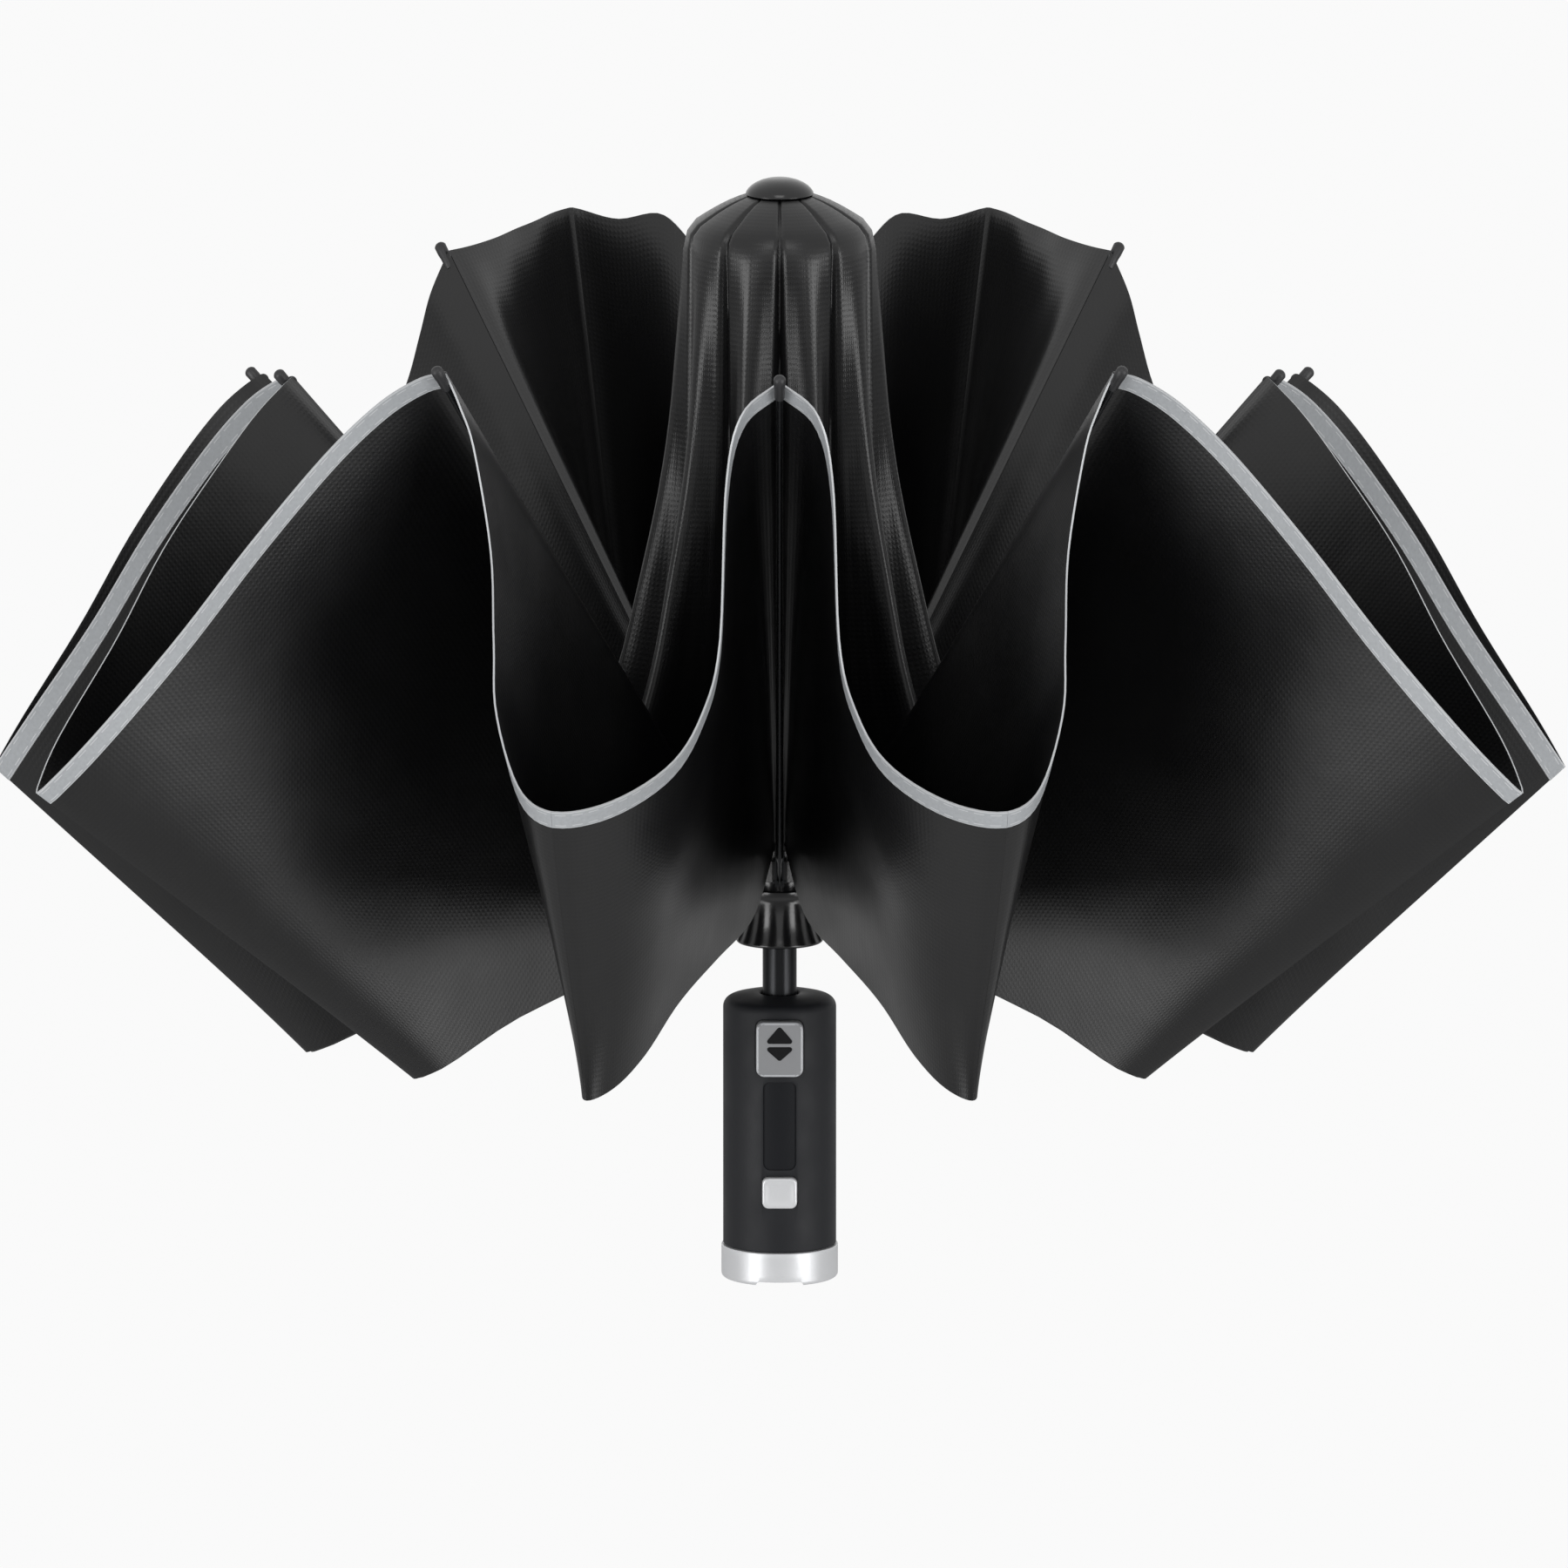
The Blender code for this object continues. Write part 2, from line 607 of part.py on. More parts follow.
def make_hubs(materials):
    """Runner, its bell, the crown's notched wheel and the cap over it."""
    ring_low = JOINT_HEIGHT - RUNNER_RING_HEIGHT / 2 + GAP
    ring_high = ring_low + RUNNER_RING_HEIGHT
    outline = [
        (SHAFT_BORE, RUNNER_BASE),
        (RUNNER_RADIUS, RUNNER_BASE),
        (RUNNER_RADIUS, ring_low),
        (RUNNER_RING_RADIUS, ring_low),
        (RUNNER_RING_RADIUS, ring_high),
        (RUNNER_RADIUS, ring_high),
        (RUNNER_RADIUS, RUNNER_TOP),
        (SHAFT_BORE, RUNNER_TOP),
    ]
    runner = turned("runner", outline, materials["gloss_black"])
    cut(runner, slot_cutters(
        "runner_slots", RUNNER_RADIUS + GAP, RUNNER_RING_RADIUS + OVERRUN,
        ring_low - OVERRUN, ring_high + OVERRUN, STRETCHER_WIDTH + 2 * GAP, materials["gloss_black"],
    ))
    bore = RUNNER_RADIUS + GAP
    bell_top = ring_low - GAP
    outline = [
        (bore, RUNNER_BASE),
        (BELL_RADIUS - GAP, RUNNER_BASE),
        (BELL_RADIUS, RUNNER_BASE + BELL_RIM / 2),
        (BELL_RADIUS, RUNNER_BASE + BELL_RIM),
        (BELL_NECK_RADIUS + BELL_RIM / 3, RUNNER_BASE + 2 * BELL_RIM),
        (BELL_NECK_RADIUS, RUNNER_BASE + 3 * BELL_RIM),
        (BELL_NECK_RADIUS, bell_top),
        (bore, bell_top),
    ]
    turned("runner_bell", outline, materials["gloss_black"])
    crown_bore = TUBE_RADII[2] + GAP
    cloth_drop = (CROWN_HUB_RADIUS - TENT_RING_RADIUS) * TENT_ROOF_SLOPE
    hub_top = TENT_RING_HEIGHT - cloth_drop - CLOTH_WALL - GAP
    outline = [
        (crown_bore, CROWN_BASE),
        (CROWN_RADIUS, CROWN_BASE),
        (CROWN_RADIUS, CROWN_TOP),
        (CROWN_HUB_RADIUS, CROWN_TOP),
        (CROWN_HUB_RADIUS, hub_top),
        (crown_bore, hub_top),
    ]
    crown = turned("crown_wheel", outline, materials["gloss_black"])
    cut(crown, slot_cutters(
        "crown_slots", INNER_RIB_TOP_RADIUS - INNER_RIB_DEPTH, CROWN_RADIUS + OVERRUN,
        CROWN_BASE - OVERRUN, INNER_RIB_TOP + INNER_RIB_DEPTH,
        INNER_RIB_WIDTH + 2 * GAP, materials["gloss_black"],
    ))
    cap_base = TENT_RING_HEIGHT + CLOTH_WALL / 2 + GAP
    cap_top = cap_base + CROWN_CAP_HEIGHT
    peg = TUBE_RADII[2] - TUBE_WALL - SLIDE_GAP
    outline = [(peg, SHAFT_TOP - CROWN_PEG_DEPTH), (peg, cap_base), (CROWN_CAP_RADIUS, cap_base)]
    for step in range(EDGE_STEPS + 1):
        angle = math.radians(90 * step / EDGE_STEPS)
        outline.append((
            CROWN_CAP_RADIUS - CROWN_CAP_EDGE + CROWN_CAP_EDGE * math.cos(angle),
            cap_top - CROWN_CAP_EDGE + CROWN_CAP_EDGE * math.sin(angle),
        ))
    turned_full("crown_cap", outline, materials["gloss_black"])


def inner_rib_radius(height):
    return JOINT_RADIUS - (height - JOINT_HEIGHT) * INNER_RIB_SLOPE


def make_inner_rib(number, materials):
    """A steel channel, open on its outer side, from the crown down to the turning joint."""
    azimuth = number * RIB_STEP
    lean = math.atan(INNER_RIB_SLOPE)
    half = INNER_RIB_WIDTH / 2
    inside = half - INNER_RIB_WALL
    back = -INNER_RIB_DEPTH / 2
    front = INNER_RIB_DEPTH / 2
    profile = (
        (half, front), (inside, front), (inside, back + INNER_RIB_WALL), (-inside, back + INNER_RIB_WALL),
        (-inside, front), (-half, front), (-half, back), (half, back),
    )
    up = outward(azimuth) * -math.sin(lean) + np.array([0.0, 0.0, math.cos(lean)])
    across = outward(azimuth) * math.cos(lean) + np.array([0.0, 0.0, math.sin(lean)])
    low = polar(azimuth, JOINT_RADIUS, JOINT_HEIGHT) - up * INNER_RIB_DEPTH / 2
    high = polar(azimuth, INNER_RIB_TOP_RADIUS, INNER_RIB_TOP) + up * INNER_RIB_DEPTH / 2
    rings = [
        [middle + sideways(azimuth) * side + across * depth for side, depth in profile]
        for middle in (low, high)
    ]
    rings_to_solid("inner_rib_%02d" % number, rings, materials["steel_black"])


def make_stretcher(number, materials):
    """A strut from a slot of the runner up to the back of the inner rib."""
    azimuth = number * RIB_STEP
    head_radius = inner_rib_radius(STRETCHER_HEAD_HEIGHT) - INNER_RIB_DEPTH / 2 - GAP - STRETCHER_WIDTH / 2
    rise = STRETCHER_HEAD_HEIGHT - JOINT_HEIGHT
    lean = math.atan2(head_radius - STRETCHER_FOOT_RADIUS, rise)
    stations = (
        (STRETCHER_FOOT_RADIUS, JOINT_HEIGHT, lean, STRETCHER_WIDTH, STRETCHER_WIDTH),
        (head_radius, STRETCHER_HEAD_HEIGHT, lean, STRETCHER_WIDTH, STRETCHER_WIDTH),
    )
    bar("stretcher_%02d" % number, azimuth, stations, materials["steel_black"])


def from_front(number):
    """How many ribs a rib lies from rib 0, either way round."""
    return min(number, RIB_COUNT - number)


def rib_spread(number):
    return RIB_SPREAD * RIB_SPREAD_SHARES[from_front(number)]


def rib_rise(number):
    return RIB_RISE * RIB_RISE_SHARES[from_front(number)]


def rib_place(number, along, standoff):
    """(radius, height) at a length along an outer rib, and off it towards the canopy's inside."""
    lean = math.atan2(rib_spread(number), rib_rise(number))
    radius = JOINT_RADIUS + along * math.sin(lean) - standoff * math.cos(lean)
    height = JOINT_HEIGHT + along * math.cos(lean) + standoff * math.sin(lean)
    return radius, height


def make_outer_rib(number, materials):
    """A turned-up rib: a thin tongue in the channel's end, a tapering bar and the cap on its tip."""
    azimuth = number * RIB_STEP
    lean = math.atan2(rib_spread(number), rib_rise(number))
    length = math.hypot(rib_spread(number), rib_rise(number))
    cap = 2 * TIP_CAP_RADIUS
    profile = (
        (-TONGUE_END, TONGUE_WIDTH, TONGUE_DEPTH),
        (TONGUE_LENGTH, TONGUE_WIDTH, TONGUE_DEPTH),
        (TONGUE_LENGTH + OUTER_RIB_DEPTH, OUTER_RIB_WIDTH, OUTER_RIB_DEPTH),
        (length - TIP_CAP_LENGTH, OUTER_RIB_WIDTH, OUTER_RIB_DEPTH),
        (length - TIP_CAP_LENGTH + TIP_CAP_RADIUS, cap, cap),
        (length - TIP_CAP_RADIUS / 2, cap, cap),
        (length, cap / 2, cap / 2),
    )
    stations = []
    for along, width, depth in profile:
        radius, height = rib_place(number, along, 0)
        stations.append((radius, height, lean, width, depth))
    origin = polar(azimuth, JOINT_RADIUS, JOINT_HEIGHT)
    bar("outer_rib_%02d" % number, azimuth, stations, materials["steel_black"], origin)


def follow(shares, start, end, columns):
    """Places along an outline of shares between two ends, each (way round, radius, height)."""
    table = np.array(shares)
    stations = np.linspace(0, 1, len(table))
    wanted = np.linspace(0, 1, columns + 1)
    share = np.column_stack([np.interp(wanted, stations, table[:, column]) for column in range(3)])
    return np.array(start) + (np.array(end) - np.array(start)) * share


def placed(places):
    return np.array([polar(*place) for place in places])


def patch(low, high, left, right):
    """A surface filled in between four edges: facing edges are blended, less the blend of the corners."""
    u = np.linspace(0, 1, len(left))[:, None, None]
    t = np.linspace(0, 1, len(low))[None, :, None]
    across = (1 - t) * left[:, None, :] + t * right[:, None, :]
    along = (1 - u) * low[None, :, :] + u * high[None, :, :]
    corners = (1 - u) * ((1 - t) * low[0] + t * low[-1]) + u * ((1 - t) * high[0] + t * high[-1])
    return across + along - corners


def straight(start, end, rows):
    share = np.linspace(0, 1, rows + 1)[:, None]
    return start + (end - start) * share


def sheet_solid(name, points, quads, wall, material):
    """Cloth with a thickness: the sheet moved half a wall each way along its normals, and rims between.

    A point's normal adds up the corners that meet there, each counted by its angle. Both sides are split
    along the same diagonals, so that they stay a wall apart where the sheet twists.
    """
    points = np.array(points)
    quads = np.array(quads)
    turned_to = np.zeros_like(points)
    for column in range(4):
        here = points[quads[:, column]]
        ahead = points[quads[:, (column + 1) % 4]] - here
        behind = points[quads[:, (column + 3) % 4]] - here
        normals = np.cross(ahead, behind)
        sines = np.linalg.norm(normals, axis=1)
        angles = np.arctan2(sines, (ahead * behind).sum(axis=1))
        np.add.at(turned_to, quads[:, column], normals * (angles / sines)[:, None])
    turned_to /= np.linalg.norm(turned_to, axis=1)[:, None]
    both = np.concatenate([points + turned_to * wall / 2, points - turned_to * wall / 2])
    count = len(points)
    split = np.concatenate([quads[:, [0, 1, 2]], quads[:, [0, 2, 3]]])
    faces = [tuple(face) for face in split]
    faces += [tuple(face[::-1] + count) for face in split]
    edges = {}
    for quad in quads:
        for start, end in zip(quad, np.roll(quad, -1)):
            edges[(start, end)] = edges.get((start, end), 0) + 1
    for start, end in edges:
        if (end, start) not in edges:
            faces.append((end, start, start + count, end + count))
    return solid(name, both, faces, material)


def grid_quads(rows, columns):
    """Quads of a grid of points. Those of the right half start a corner later, so the halves mirror."""
    quads = []
    for row in range(rows):
        for column in range(columns):
            corner = row * (columns + 1) + column
            quad = (corner, corner + 1, corner + columns + 2, corner + columns + 1)
            quads.append(quad if column < columns // 2 else quad[1:] + quad[:1])
    return quads


def panel_of(number):
    """Which row of the canopy's tables a panel uses, counted from the front either way round."""
    return min(number, RIB_COUNT - 1 - number)


def panel_middle(number):
    return (number + 0.5) * RIB_STEP


def hem_shares(panel, rib):
    """The hem's outline beside one rib: all are creased but for those of the front and far gores."""
    outlines = {
        (0, 0): ARCH_HEM_SHARES,
        (0, 1): ROUND_HEM_SHARES,
        (3, 4): STEEP_HEM_SHARES,
        (4, 5): FAR_HEM_SHARES,
    }
    return outlines.get((panel_of(panel), from_front(rib)), CREASED_HEM_SHARES)


def rib_ends(rib):
    """Where the cloth leaves the turning joint and where it reaches the tip, as (radius, height)."""
    length = math.hypot(rib_spread(rib), rib_rise(rib))
    low = rib_place(rib, CLOTH_START, CLOTH_STANDOFF)
    high = rib_place(rib, length - TIP_CAP_LENGTH / 2, TIP_STANDOFF)
    return low, high


def lobe_of(panel):
    """(radius, height) of the lowest point of a panel's bottom fold."""
    row = panel_of(panel)
    return LOBE_REACH * LOBE_REACH_SHARES[row], JOINT_HEIGHT - LOBE_DROP * LOBE_DROP_SHARES[row]


def hem_corner_of(panel):
    """(radius, height) of the hem in a panel's middle."""
    row = panel_of(panel)
    return HEM_REACH * HEM_REACH_SHARES[row], JOINT_HEIGHT + HEM_RISE * HEM_RISE_SHARES[row]


def half_petal(panel, rib, azimuth, middle):
    """The outer part of a gore beside one rib, rows from the bottom fold up to the hem."""
    (low_radius, low_height), (high_radius, high_height) = rib_ends(rib)
    lobe = (middle, *lobe_of(panel))
    corner = (middle, *hem_corner_of(panel))
    fold = placed(follow(FOLD_SHARES, (azimuth, low_radius, low_height), lobe, PANEL_COLUMNS))
    hem = placed(follow(hem_shares(panel, rib), (azimuth, high_radius, high_height), corner, PANEL_COLUMNS))
    sheet = patch(
        fold, hem,
        straight(fold[0], hem[0], PANEL_ROWS),
        straight(fold[-1], hem[-1], PANEL_ROWS),
    )
    near_rib = (1 - np.linspace(0, 1, PANEL_COLUMNS + 1)) ** 2
    length = np.linalg.norm(sheet[1] - sheet[0], axis=1)
    trim = (FOLD_TRIM + HUB_TRIM * near_rib) / length
    sheet[0] += (sheet[1] - sheet[0]) * trim[:, None]
    sheet[:, 0] += sideways(azimuth) * math.copysign(RIB_SIDE_GAP, middle - azimuth)
    return sheet


def tent_row(places, azimuth, middle):
    """One row of a tent's half. Each place gives its share of the way from the rib's seam to the middle."""
    seam = azimuth + math.copysign(SEAM_GAP / places[0, 1], middle - azimuth)
    return placed([(seam + (middle - seam) * share, radius, height) for share, radius, height in places])


def half_tent(panel, rib, azimuth, middle):
    """The inner part of a gore beside one rib, rows from the ring under the cap down to the bottom fold."""
    foot, _ = rib_ends(rib)
    lobe_radius, lobe_height = lobe_of(panel)
    fold = follow(FOLD_SHARES, (0, *foot), (1, lobe_radius - ARM_INSET, lobe_height), PANEL_COLUMNS)
    shoulder = (TENT_SHOULDER_RADIUS, TENT_SHOULDER_HEIGHT)
    top = follow(STRAIGHT_SHARES, (0, *shoulder), (1, *shoulder), PANEL_COLUMNS)
    ring = (TENT_RING_RADIUS, TENT_RING_HEIGHT)
    inset = sideways(middle) * math.copysign(ARM_INSET, middle - azimuth)
    rows = [tent_row(follow(STRAIGHT_SHARES, (0, *ring), (1, *ring), PANEL_COLUMNS), azimuth, middle)]
    for out, up in TENT_ARM_SHARES:
        row = tent_row(fold + (top - fold) * (up, out, up), azimuth, middle)
        row[1:-1] += inset * (1 - up)
        rows.append(row)
    return np.array(rows)


def make_panel(number, materials):
    """One gore: from the ring under the cap down the tent, round the bottom fold and out to the hem."""
    middle = panel_middle(number)
    halves = []
    for rib in (number, number + 1):
        azimuth = rib * RIB_STEP
        place = (number, rib % RIB_COUNT, azimuth, middle)
        halves.append(np.concatenate([half_tent(*place), half_petal(*place)], axis=0))
    whole = np.concatenate([halves[0], halves[1][:, ::-1][:, 1:]], axis=1)
    rows, columns = whole.shape[:2]
    quads = grid_quads(rows - 1, columns - 1)
    sheet_solid("canopy_panel_%02d" % number, whole.reshape(-1, 3), quads, CLOTH_WALL, materials["cloth"])


def make_materials():
    return {
        "grip": finish("soft_touch_grip", (0.028, 0.029, 0.032), 0.6),
        "silver": finish("silver_paint", (0.55, 0.56, 0.58), 0.35),
        "button": finish("grey_button", (0.24, 0.25, 0.27), 0.4),
        "clear": finish("clear_lens", (0.85, 0.88, 0.9), 0.05),
        "chrome": finish("mirror_coat", (0.8, 0.8, 0.82), 0.08, 1.0),
        "board": finish("circuit_board", (0.02, 0.1, 0.04), 0.5),
        "dark_plastic": finish("dark_plastic", (0.03, 0.03, 0.032), 0.5),
        "steel": finish("spring_steel", (0.55, 0.56, 0.58), 0.3, 1.0),
        "steel_black": finish("black_coated_steel", (0.012, 0.012, 0.014), 0.35, 0.6),
        "gloss_black": finish("gloss_black_plastic", (0.008, 0.008, 0.009), 0.25),
        "cloth": finish("black_polyester", (0.012, 0.013, 0.015), 0.7),
    }


def main():
    clear_scene()
    materials = make_materials()
    make_handle(materials)
    make_torch(materials)
    make_buttons(materials)
    make_shaft(materials)
    make_hubs(materials)
    for number in range(RIB_COUNT):
        make_inner_rib(number, materials)
        make_stretcher(number, materials)
        make_outer_rib(number, materials)
        make_panel(number, materials)


main()
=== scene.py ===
"""Looks of a compact reverse-folding umbrella with a torch in its handle, closed but not wrapped.

Everything is in metres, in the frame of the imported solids: +Z up the shaft, -Y towards the viewer and the
buttons. Azimuths count from the viewer towards +X, so rib 0 points at the viewer and rib k is at 36 k
degrees. The cloth is worked out from the outlines of its folds, and the hard parts from their profiles.
"""

import math

import bmesh
import bpy
import numpy as np
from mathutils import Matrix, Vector


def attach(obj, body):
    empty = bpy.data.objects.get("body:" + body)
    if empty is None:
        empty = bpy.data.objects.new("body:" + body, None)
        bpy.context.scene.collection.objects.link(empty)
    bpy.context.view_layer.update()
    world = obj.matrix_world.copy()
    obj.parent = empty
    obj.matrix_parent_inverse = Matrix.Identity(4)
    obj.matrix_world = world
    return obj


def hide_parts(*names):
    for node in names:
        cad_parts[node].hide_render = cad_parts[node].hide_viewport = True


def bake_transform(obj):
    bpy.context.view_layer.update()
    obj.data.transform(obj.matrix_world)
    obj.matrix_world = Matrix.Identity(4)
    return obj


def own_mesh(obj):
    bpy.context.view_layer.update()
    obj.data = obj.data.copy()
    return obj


bl_info = {
    "name": "Reverse-folding umbrella",
    "version": (1, 0, 0),
    "blender": (4, 5, 0),
    "location": "3D View > Sidebar > Umbrella",
    "description": "Dresses the packed umbrella with its cloth, tape, mouldings and finishes",
    "category": "Object",
}

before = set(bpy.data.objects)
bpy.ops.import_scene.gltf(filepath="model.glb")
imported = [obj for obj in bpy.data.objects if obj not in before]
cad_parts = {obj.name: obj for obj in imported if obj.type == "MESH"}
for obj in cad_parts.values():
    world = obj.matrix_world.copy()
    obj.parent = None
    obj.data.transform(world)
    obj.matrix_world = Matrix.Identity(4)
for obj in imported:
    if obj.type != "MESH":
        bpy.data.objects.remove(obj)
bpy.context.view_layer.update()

RIBS = 10
STEP = 2 * math.pi / RIBS

# Canopy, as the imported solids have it. Shares of ribs go from the viewer's rib to the one opposite, and
# shares of gores from the viewer's pair to the pair opposite.
JOINT_RADIUS = 0.0240
JOINT_HEIGHT = 0.120
RIB_SPREAD = 0.125
RIB_RISE = 0.170
RIB_SPREAD_SHARES = (0.99, 1.136, 1.016, 1.096, 1.152, 1.008)
RIB_RISE_SHARES = (1.0, 1.0, 0.90, 0.80, 0.924, 0.84)
TIP_CAP_LENGTH = 0.009
CLOTH_START = 0.0100
CLOTH_STANDOFF = 0.0050
TIP_STANDOFF = 0.0026
HEM_REACH = 0.226
HEM_REACH_SHARES = (0.947, 1.155, 1.0, 1.0, 0.863)
HEM_RISE = 0.050
HEM_RISE_SHARES = (1.061, 1.0, 0.561, 0.599, 3.176)
LOBE_REACH = 0.136
LOBE_REACH_SHARES = (1.162, 0.949, 1.0, 0.993, 0.90)
LOBE_DROP = 0.050
LOBE_DROP_SHARES = (0.761, 0.940, 1.090, 1.0, 0.600)
TENT_RING_RADIUS = 0.0045
TENT_RING_HEIGHT = 0.3165
TENT_SHOULDER_RADIUS = 0.027
TENT_SHOULDER_HEIGHT = 0.306

# Outlines from a rib to the middle of its gore: shares of the way round, outwards and down
ARCH_HEM = (
    (0.0, 0.0, 0.0), (0.24, 0.0, 0.085), (0.333, 0.04, 0.256), (0.345, 0.20, 0.633),
    (0.41, 0.39, 0.79), (0.54, 0.57, 0.90), (0.78, 0.80, 0.98), (1.0, 1.0, 1.0),
)
ROUND_HEM = (
    (0.0, 0.0, 0.0), (0.10, 0.0, 0.08), (0.20, 0.0, 0.19), (0.38, 0.12, 0.43),
    (0.53, 0.38, 0.625), (0.62, 0.56, 0.78), (0.83, 0.83, 0.96), (1.0, 1.0, 1.0),
)
CREASED_HEM = (
    (0.0, 0.0, 0.0), (0.13, 0.05, 0.02), (0.27, 0.14, 0.08), (0.42, 0.27, 0.20),
    (0.58, 0.46, 0.40), (0.74, 0.65, 0.63), (0.89, 0.88, 0.87), (1.0, 1.0, 1.0),
)
STEEP_HEM = (
    (0.0, 0.0, 0.0), (0.07, 0.06, 0.10), (0.08, 0.13, 0.20), (0.10, 0.22, 0.33),
    (0.17, 0.34, 0.47), (0.34, 0.52, 0.62), (0.66, 0.76, 0.82), (1.0, 1.0, 1.0),
)
FAR_HEM = (
    (0.0, 0.0, 0.0), (0.12, 0.03, 0.04), (0.26, 0.08, 0.12), (0.40, 0.16, 0.34),
    (0.52, 0.27, 0.72), (0.66, 0.46, 1.10), (0.84, 0.72, 0.91), (1.0, 1.0, 1.0),
)
BOTTOM_FOLD = (
    (0.0, 0.0, 0.0), (0.27, 0.0, 0.10), (0.50, 0.17, 0.47), (0.70, 0.42, 0.60),
    (0.81, 0.70, 0.75), (0.885, 0.91, 0.93), (1.0, 1.0, 1.0),
)
FRONT_FOLD = (
    (0.0, 0.0, 0.0), (0.27, 0.0, 0.06), (0.50, 0.17, 0.34), (0.68, 0.42, 0.45),
    (0.78, 0.68, 0.59), (0.83, 0.84, 0.83), (0.90, 0.94, 1.03), (1.0, 1.0, 1.0),
)
# Shares outwards and up, from the shoulder down to the bottom fold
TENT_ARM = ((1.0, 1.0), (0.95, 0.72), (0.80, 0.42), (0.48, 0.18), (0.0, 0.0))

# Points across and up half a gore
PETAL_COLUMNS = 40
PETAL_ROWS = 44
TENT_COLUMNS = 20
TENT_ROWS = 44
ROOF_ROWS = 9
TAPE_ROWS = 5
# The length over which the tape's edge rises, and how far below it the last plain row lies
TAPE_EDGE = 0.0002
BELOW_TAPE = 0.0008
# How far a gore's ridge is rounded, in columns: the front lobes, the other gores and the tent's arms
ROUND_RIDGE = 3.4
ROUND_FOOT = 6.0
CREASED_RIDGE = 0.7
CREASED_FOOT = 1.8
TENT_RIDGE = 0.8
# How the front lobes' feet reach out and lean aside, and over how many columns
FOOT_REACH = 13
FRONT_FOOT_OUT = 0.0030
FRONT_ASIDE = 0.0058
# The tent at its seams: their width as a share of half a gore, and how far they are drawn in
SEAM_SHARE = 0.12
SEAM_PINCH = 0.0022
SHOULDER_PINCH = 0.0010
ROOF_SAG = 0.0007
ROOF_ROUND = 1.6
TENT_INSET = 0.0015
LIP_INSET = 0.0006
LIP_DROP = 0.0004
# Rows that the running mean down the tent's arm takes
ARM_MEAN = 7

# Handle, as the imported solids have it
GRIP_RADIUS = 0.01625
GRIP_BORE = 0.0142
GRIP_BASE = 0.0099
GRIP_TOP = 0.082
GRIP_TOP_WALL = 0.0025
GRIP_ROUND = 0.0030
GRIP_DOME = 0.0012
COLLAR_RADIUS = 0.0068
COLLAR_ROUND = 0.0006
COLLAR_RISE = 0.0004
SHAFT_BORE = 0.00525
BEZEL_RADIUS = 0.01675
BEZEL_HEIGHT = 0.0096
BEZEL_ROUND = 0.0012
BEZEL_OPENING = 0.0108
BEZEL_SHELF = 0.0022
BEZEL_EDGE = 0.0003
# Radii of the ring that the base cap stands on, and the width, height and corner of its notch
BEZEL_RING = (0.0111, 0.0144)
NOTCH = (0.0135, 0.0024, 0.0011)
SPIGOT_WALL = 0.0016
SPIGOT_HEIGHT = 0.005
JOINT_GAP = 0.0003
CHAMFER = 0.0002
# Width, height, corner, height of the middle, and how far it stands proud or, for the strip, lies deep
TORCH_BUTTON = (0.010, 0.009, 0.0018, 0.0275, 0.0014)
MAIN_BUTTON = (0.0135, 0.0160, 0.0024, 0.0698, 0.0026)
STRIP = (0.0095, 0.0258, 0.002, 0.0469, 0.0004)
# Where the dip of a button's face ends, and where its rings do, as shares of the way to its middle
DISH_REACH = 0.45
DISH_RINGS = 0.94
MARK_WIDTH = 0.0080
MARK_CORNER = 0.0007
# Depths and insets of a mark's outline, behind the button's front
MARK_STATIONS = ((0.0006, 0), (0.00016, 0), (0.00008, 0.00008))
# Each mark's middle above the button's, the way it points, and its height
MARKS = {"mark_open": (0.0043, 1, 0.0051), "mark_close": (-0.0013, -1, 0.0042)}
FLANGE_EDGE = 0.0010
FLANGE_WALL = 0.0009
# Coil spring between the main button's flange and the shaft, which the button closes up by this much
COIL_END = -0.0049
COIL_RADIUS = 0.0026
COIL_TURNS = 4.0
# A depth in front of the handle, where its cutters start
IN_FRONT = -0.0190
# Torch lens: height, radius and bulge of each face, and the profile of the rim between them
LENS_FRONT = (0.00275, 0.0107, 0.00025)
LENS_RIM = ((0.0118, 0.0030), (0.0120, 0.0032), (0.0120, 0.0041), (0.0118, 0.0043))
LENS_BACK = (0.0043, 0.0110, 0.0004)
# Torch mirror: radius and height of its front and back at the lamp, how far it widens and falls, and its rim
MIRROR_FRONT = (0.0030, 0.0102)
MIRROR_BACK = (0.0038, 0.0106)
MIRROR_WIDENS = 0.0079
MIRROR_FALLS = 0.0056
MIRROR_RIM = ((0.0117, 0.0046), (0.0117, 0.0054))

# Shaft, runner and crown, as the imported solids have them
TUBE_PROFILE = ((0.00445, 0.0412), (0.0049, 0.0412), (0.0049, 0.2912), (0.0047, 0.2915), (0.00445, 0.2915))
BELL_BORE = 0.0079
BELL_FOOT = 0.098
BELL_RADIUS = 0.0121
BELL_ROUND = 0.0006
# The bell's skirt: its radius at the neck, how far it flares out by a power of the way down, and its height
SKIRT_RADIUS = 0.0098
SKIRT_FLARE = 0.0026
SKIRT_POWER = 2.2
SKIRT_START = 0.0010
SKIRT_HEIGHT = 0.0120
